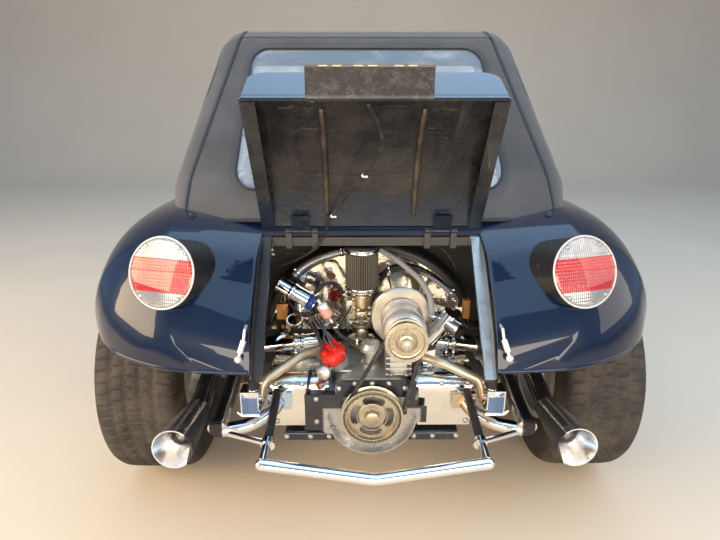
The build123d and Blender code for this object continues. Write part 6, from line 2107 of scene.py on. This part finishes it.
def wheel_trim():
    """Nuts on a circle of 47 mm radius, a ring, a hub cap as a turned profile, and a valve."""
    for body, side, tyre_size, dish in WHEELS:
        axle = np.array([side * tyre_size["x"], tyre_size["y"], tyre_size["r"]])
        out = np.array([side, 0.0, 0.0])
        hub = axle + out * (dish + 0.0165)
        angle = np.arange(5) * 2 * math.pi / 5 + math.pi / 10
        places = hub + 0.047 * np.stack([0 * angle, np.cos(angle), np.sin(angle)], axis=1)
        nuts = copies(hexagon_bolt(0.0085, 0.014), places, [out] * 5)
        profile = [(0, 0), (0.029, 0), (0.030, 0.004), (0.026, 0.008), (0.016, 0.0105), (0, 0.0115)]
        cap = lathe(profile, axle + out * (dish + 0.0295), out, 40)
        trim = ring(hub - out * 0.001, out, 0.060, 0.0018, 60)
        add_piece(body + "_trim", [nuts, cap, trim], CHROME, body)
        stem = hub - out * 0.012 + np.array([0, 0.150 * math.cos(0.94), 0.150 * math.sin(0.94)])
        valve = [rod(stem, stem + out * 0.020, 0.0045, 0.0015, 16)]
        add_piece(body + "_valve", valve, BELT, body)


wheel_trim()
print(len(WHEELS), "wheels trimmed")

# %% [markdown]
# The glass of a headlamp is a shallow dome over a disc. A cosine across the car is taken from its height,
# which makes the vertical flutes.

# %% Headlamp glasses and indicators
def headlamp_glass(side, rings_count=22, around=140):
    """A shallow dome, 84.5 mm in radius, whose height also ripples with x for the flutes."""
    r, a = np.linspace(0, HEADLAMP_R, rings_count), turns(around)
    r, a = np.meshgrid(r, a, indexing="ij")
    x, z = r * np.cos(a), -r * np.sin(a)
    bulge = 0.0062 + 0.0074 * (1 - (r / HEADLAMP_R) ** 2)
    y = bulge - 0.0007 * np.cos(x * 2 * math.pi / 0.009) * (r < 0.080)
    front = np.stack([x, y, z], axis=2).reshape(-1, 3)
    return front + HEADLAMP * [side, 1, 1], grid_faces(rings_count, around, close_columns=True)


def front_trim():
    """Glasses, rims and screws of the headlamps, and amber rings with a rim on the indicators."""
    glasses, rims, amber = [], [], []
    for side in (-1, 1):
        glasses.append(headlamp_glass(side))
        centre = HEADLAMP * [side, 1, 1]
        rims.append(ring(centre + [0, 0.0035, 0], (0, 1, 0), 0.0875, 0.0042, 80))
        rims.append(rod(centre + [0, -0.004, -0.086], centre + [0, 0.006, -0.088], 0.0036, 0.001, 12))
        out = unit([0, 1, 0.25])
        foot = np.array([side * 0.634, FRONT_Y + 0.250, 0.700])
        for radius, along in ((0.0255, 0.0475), (0.0180, 0.0530), (0.0100, 0.0550)):
            amber.append(ring(foot + out * along, out, radius - 0.0015, 0.0012, 40))
        rims.append(ring(foot + out * 0.0385, out, 0.0292, 0.0014, 48))
    add_piece("headlamp_glass", glasses, lens_glass("headlamp_glass"))
    add_piece("headlamp_rims", rims, CHROME)
    orange = moulded_plastic("amber_lens", (0.75, 0.22, 0.015), (0.60, 0.25, 0.05), 0.2)
    add_piece("indicator_rings", amber, orange)


def lens_glass(name):
    """Pale fluted glass over a bright bowl, painted as an opaque silvery white with a clear coat."""
    f = Finish(name, Metallic=0.55, Roughness=0.12, Coat_Weight=1.0)
    streak = f.patches(30, 3, 0.55, 0.4, 0.7)
    return f.link(
        Base_Color=f.mix(streak * 0.4, (0.80, 0.82, 0.84), (0.48, 0.50, 0.53)),
        Normal=f.bump(f.noise(120, 2), 0.0003),
    )


front_trim()
print("front trimmed")

# %% [markdown]
# ## Finishes of the solid pieces
# Each solid piece from the frame takes one of the finishes above. Its mesh is loose triangles, so curved
# panels would look faceted. A small modifier welds the triangles where they meet and shades them smooth,
# apart from edges that turn by more than an angle, which stay sharp. The mesh itself isn't touched.

# %% Weld and shade smooth by angle
def smooth_by_angle(limit):
    """A node group: merge by distance, shade smooth, then mark edges that turn more than the limit."""
    group = bpy.data.node_groups.new("smooth_by_angle", "GeometryNodeTree")
    for way in ("INPUT", "OUTPUT"):
        group.interface.new_socket("Geometry", in_out=way, socket_type="NodeSocketGeometry")
    start, end = group.nodes.new("NodeGroupInput"), group.nodes.new("NodeGroupOutput")
    weld = group.nodes.new("GeometryNodeMergeByDistance")
    weld.inputs["Distance"].default_value = 0.00002
    smooth, mark = [group.nodes.new("GeometryNodeSetShadeSmooth") for _ in range(2)]
    angle = group.nodes.new("GeometryNodeInputMeshEdgeAngle")
    sharp = group.nodes.new("FunctionNodeCompare")
    sharp.inputs["B"].default_value = math.radians(limit)
    mark.domain = "EDGE"
    mark.inputs["Shade Smooth"].default_value = False
    for source, output, target, socket in (
        (start, 0, weld, "Geometry"),
        (weld, "Geometry", smooth, "Geometry"),
        (smooth, "Geometry", mark, "Geometry"),
        (angle, "Unsigned Angle", sharp, "A"),
        (sharp, "Result", mark, "Selection"),
        (mark, "Geometry", end, 0),
    ):
        group.links.new(source.outputs[output], target.inputs[socket])
    return group


SMOOTH = smooth_by_angle(28)


def finish_node(name, material):
    """Gives a solid piece its finish and its smooth shading."""
    piece = nodes[name]
    piece.data.materials.clear()
    piece.data.materials.append(material)
    weld = piece.modifiers.new("smooth", "NODES")
    weld.node_group = SMOOTH
    piece.modifiers.new("even", "WEIGHTED_NORMAL").keep_sharp = True


print("smoothing ready")

# %% [markdown]
# One table says which finish each solid piece takes: a row is a finish and the names of its pieces.

# %% Paint the frame's nodes
FINISHES = [
    (PAINT, "body_shell front_hood"),
    (TUB, "inner_tub"),
    (CHASSIS, "floor_pan front_axle_beam rear_suspension"),
    (GRAINED, "dashboard seats"),
    (SATIN_BLACK, "windscreen_frame"),
    (SCREEN, "windscreen_glass"),
    (CANVAS, "soft_top"),
    (VINYL, "vinyl_windows"),
    (STEEL, "top_bows driver_controls track_rod"),
    (BLACK_PLASTIC, "steering_wheel tail_lamps"),
    (LID_FINISH, "engine_lid"),
    (BAY_RAILS, "bay_frame"),
    (BELT, "lamp_cable fan_belt"),
    (RED_CAP, "tail_lamp_lenses"),
    (CHROME, "front_lamps front_bumper ignition_coil oil_filler"),
    (ALLOY, "transaxle knuckle_left knuckle_right engine_case"),
    (PALE_ALLOY, "front_rim_left front_rim_right rear_rim_left rear_rim_right alternator"),
    (TIN_CHROME, "cylinder_tins"),
    (SHROUD, "fan_shroud"),
    (PULLEY_ALLOY, "crank_pulley alternator_pulley"),
    (CARBURETTOR, "carburettor"),
    (FILTER_FINISH, "air_filter"),
    (HOT_IRON, "heat_pipes"),
    (DISTRIBUTOR, "distributor"),
    (NAVY_TIN, "engine_tins"),
    (EXHAUST_FINISH, "exhaust"),
    (BUMPER, "rear_bumper"),
    (LEAD_FINISH, "plug_leads"),
    (BAY_HOSES, "engine_hoses"),
]
finished = 0
for material, names in FINISHES:
    for name in names.split():
        finish_node(name, material)
        finished += 1
print(finished, "solid pieces finished")
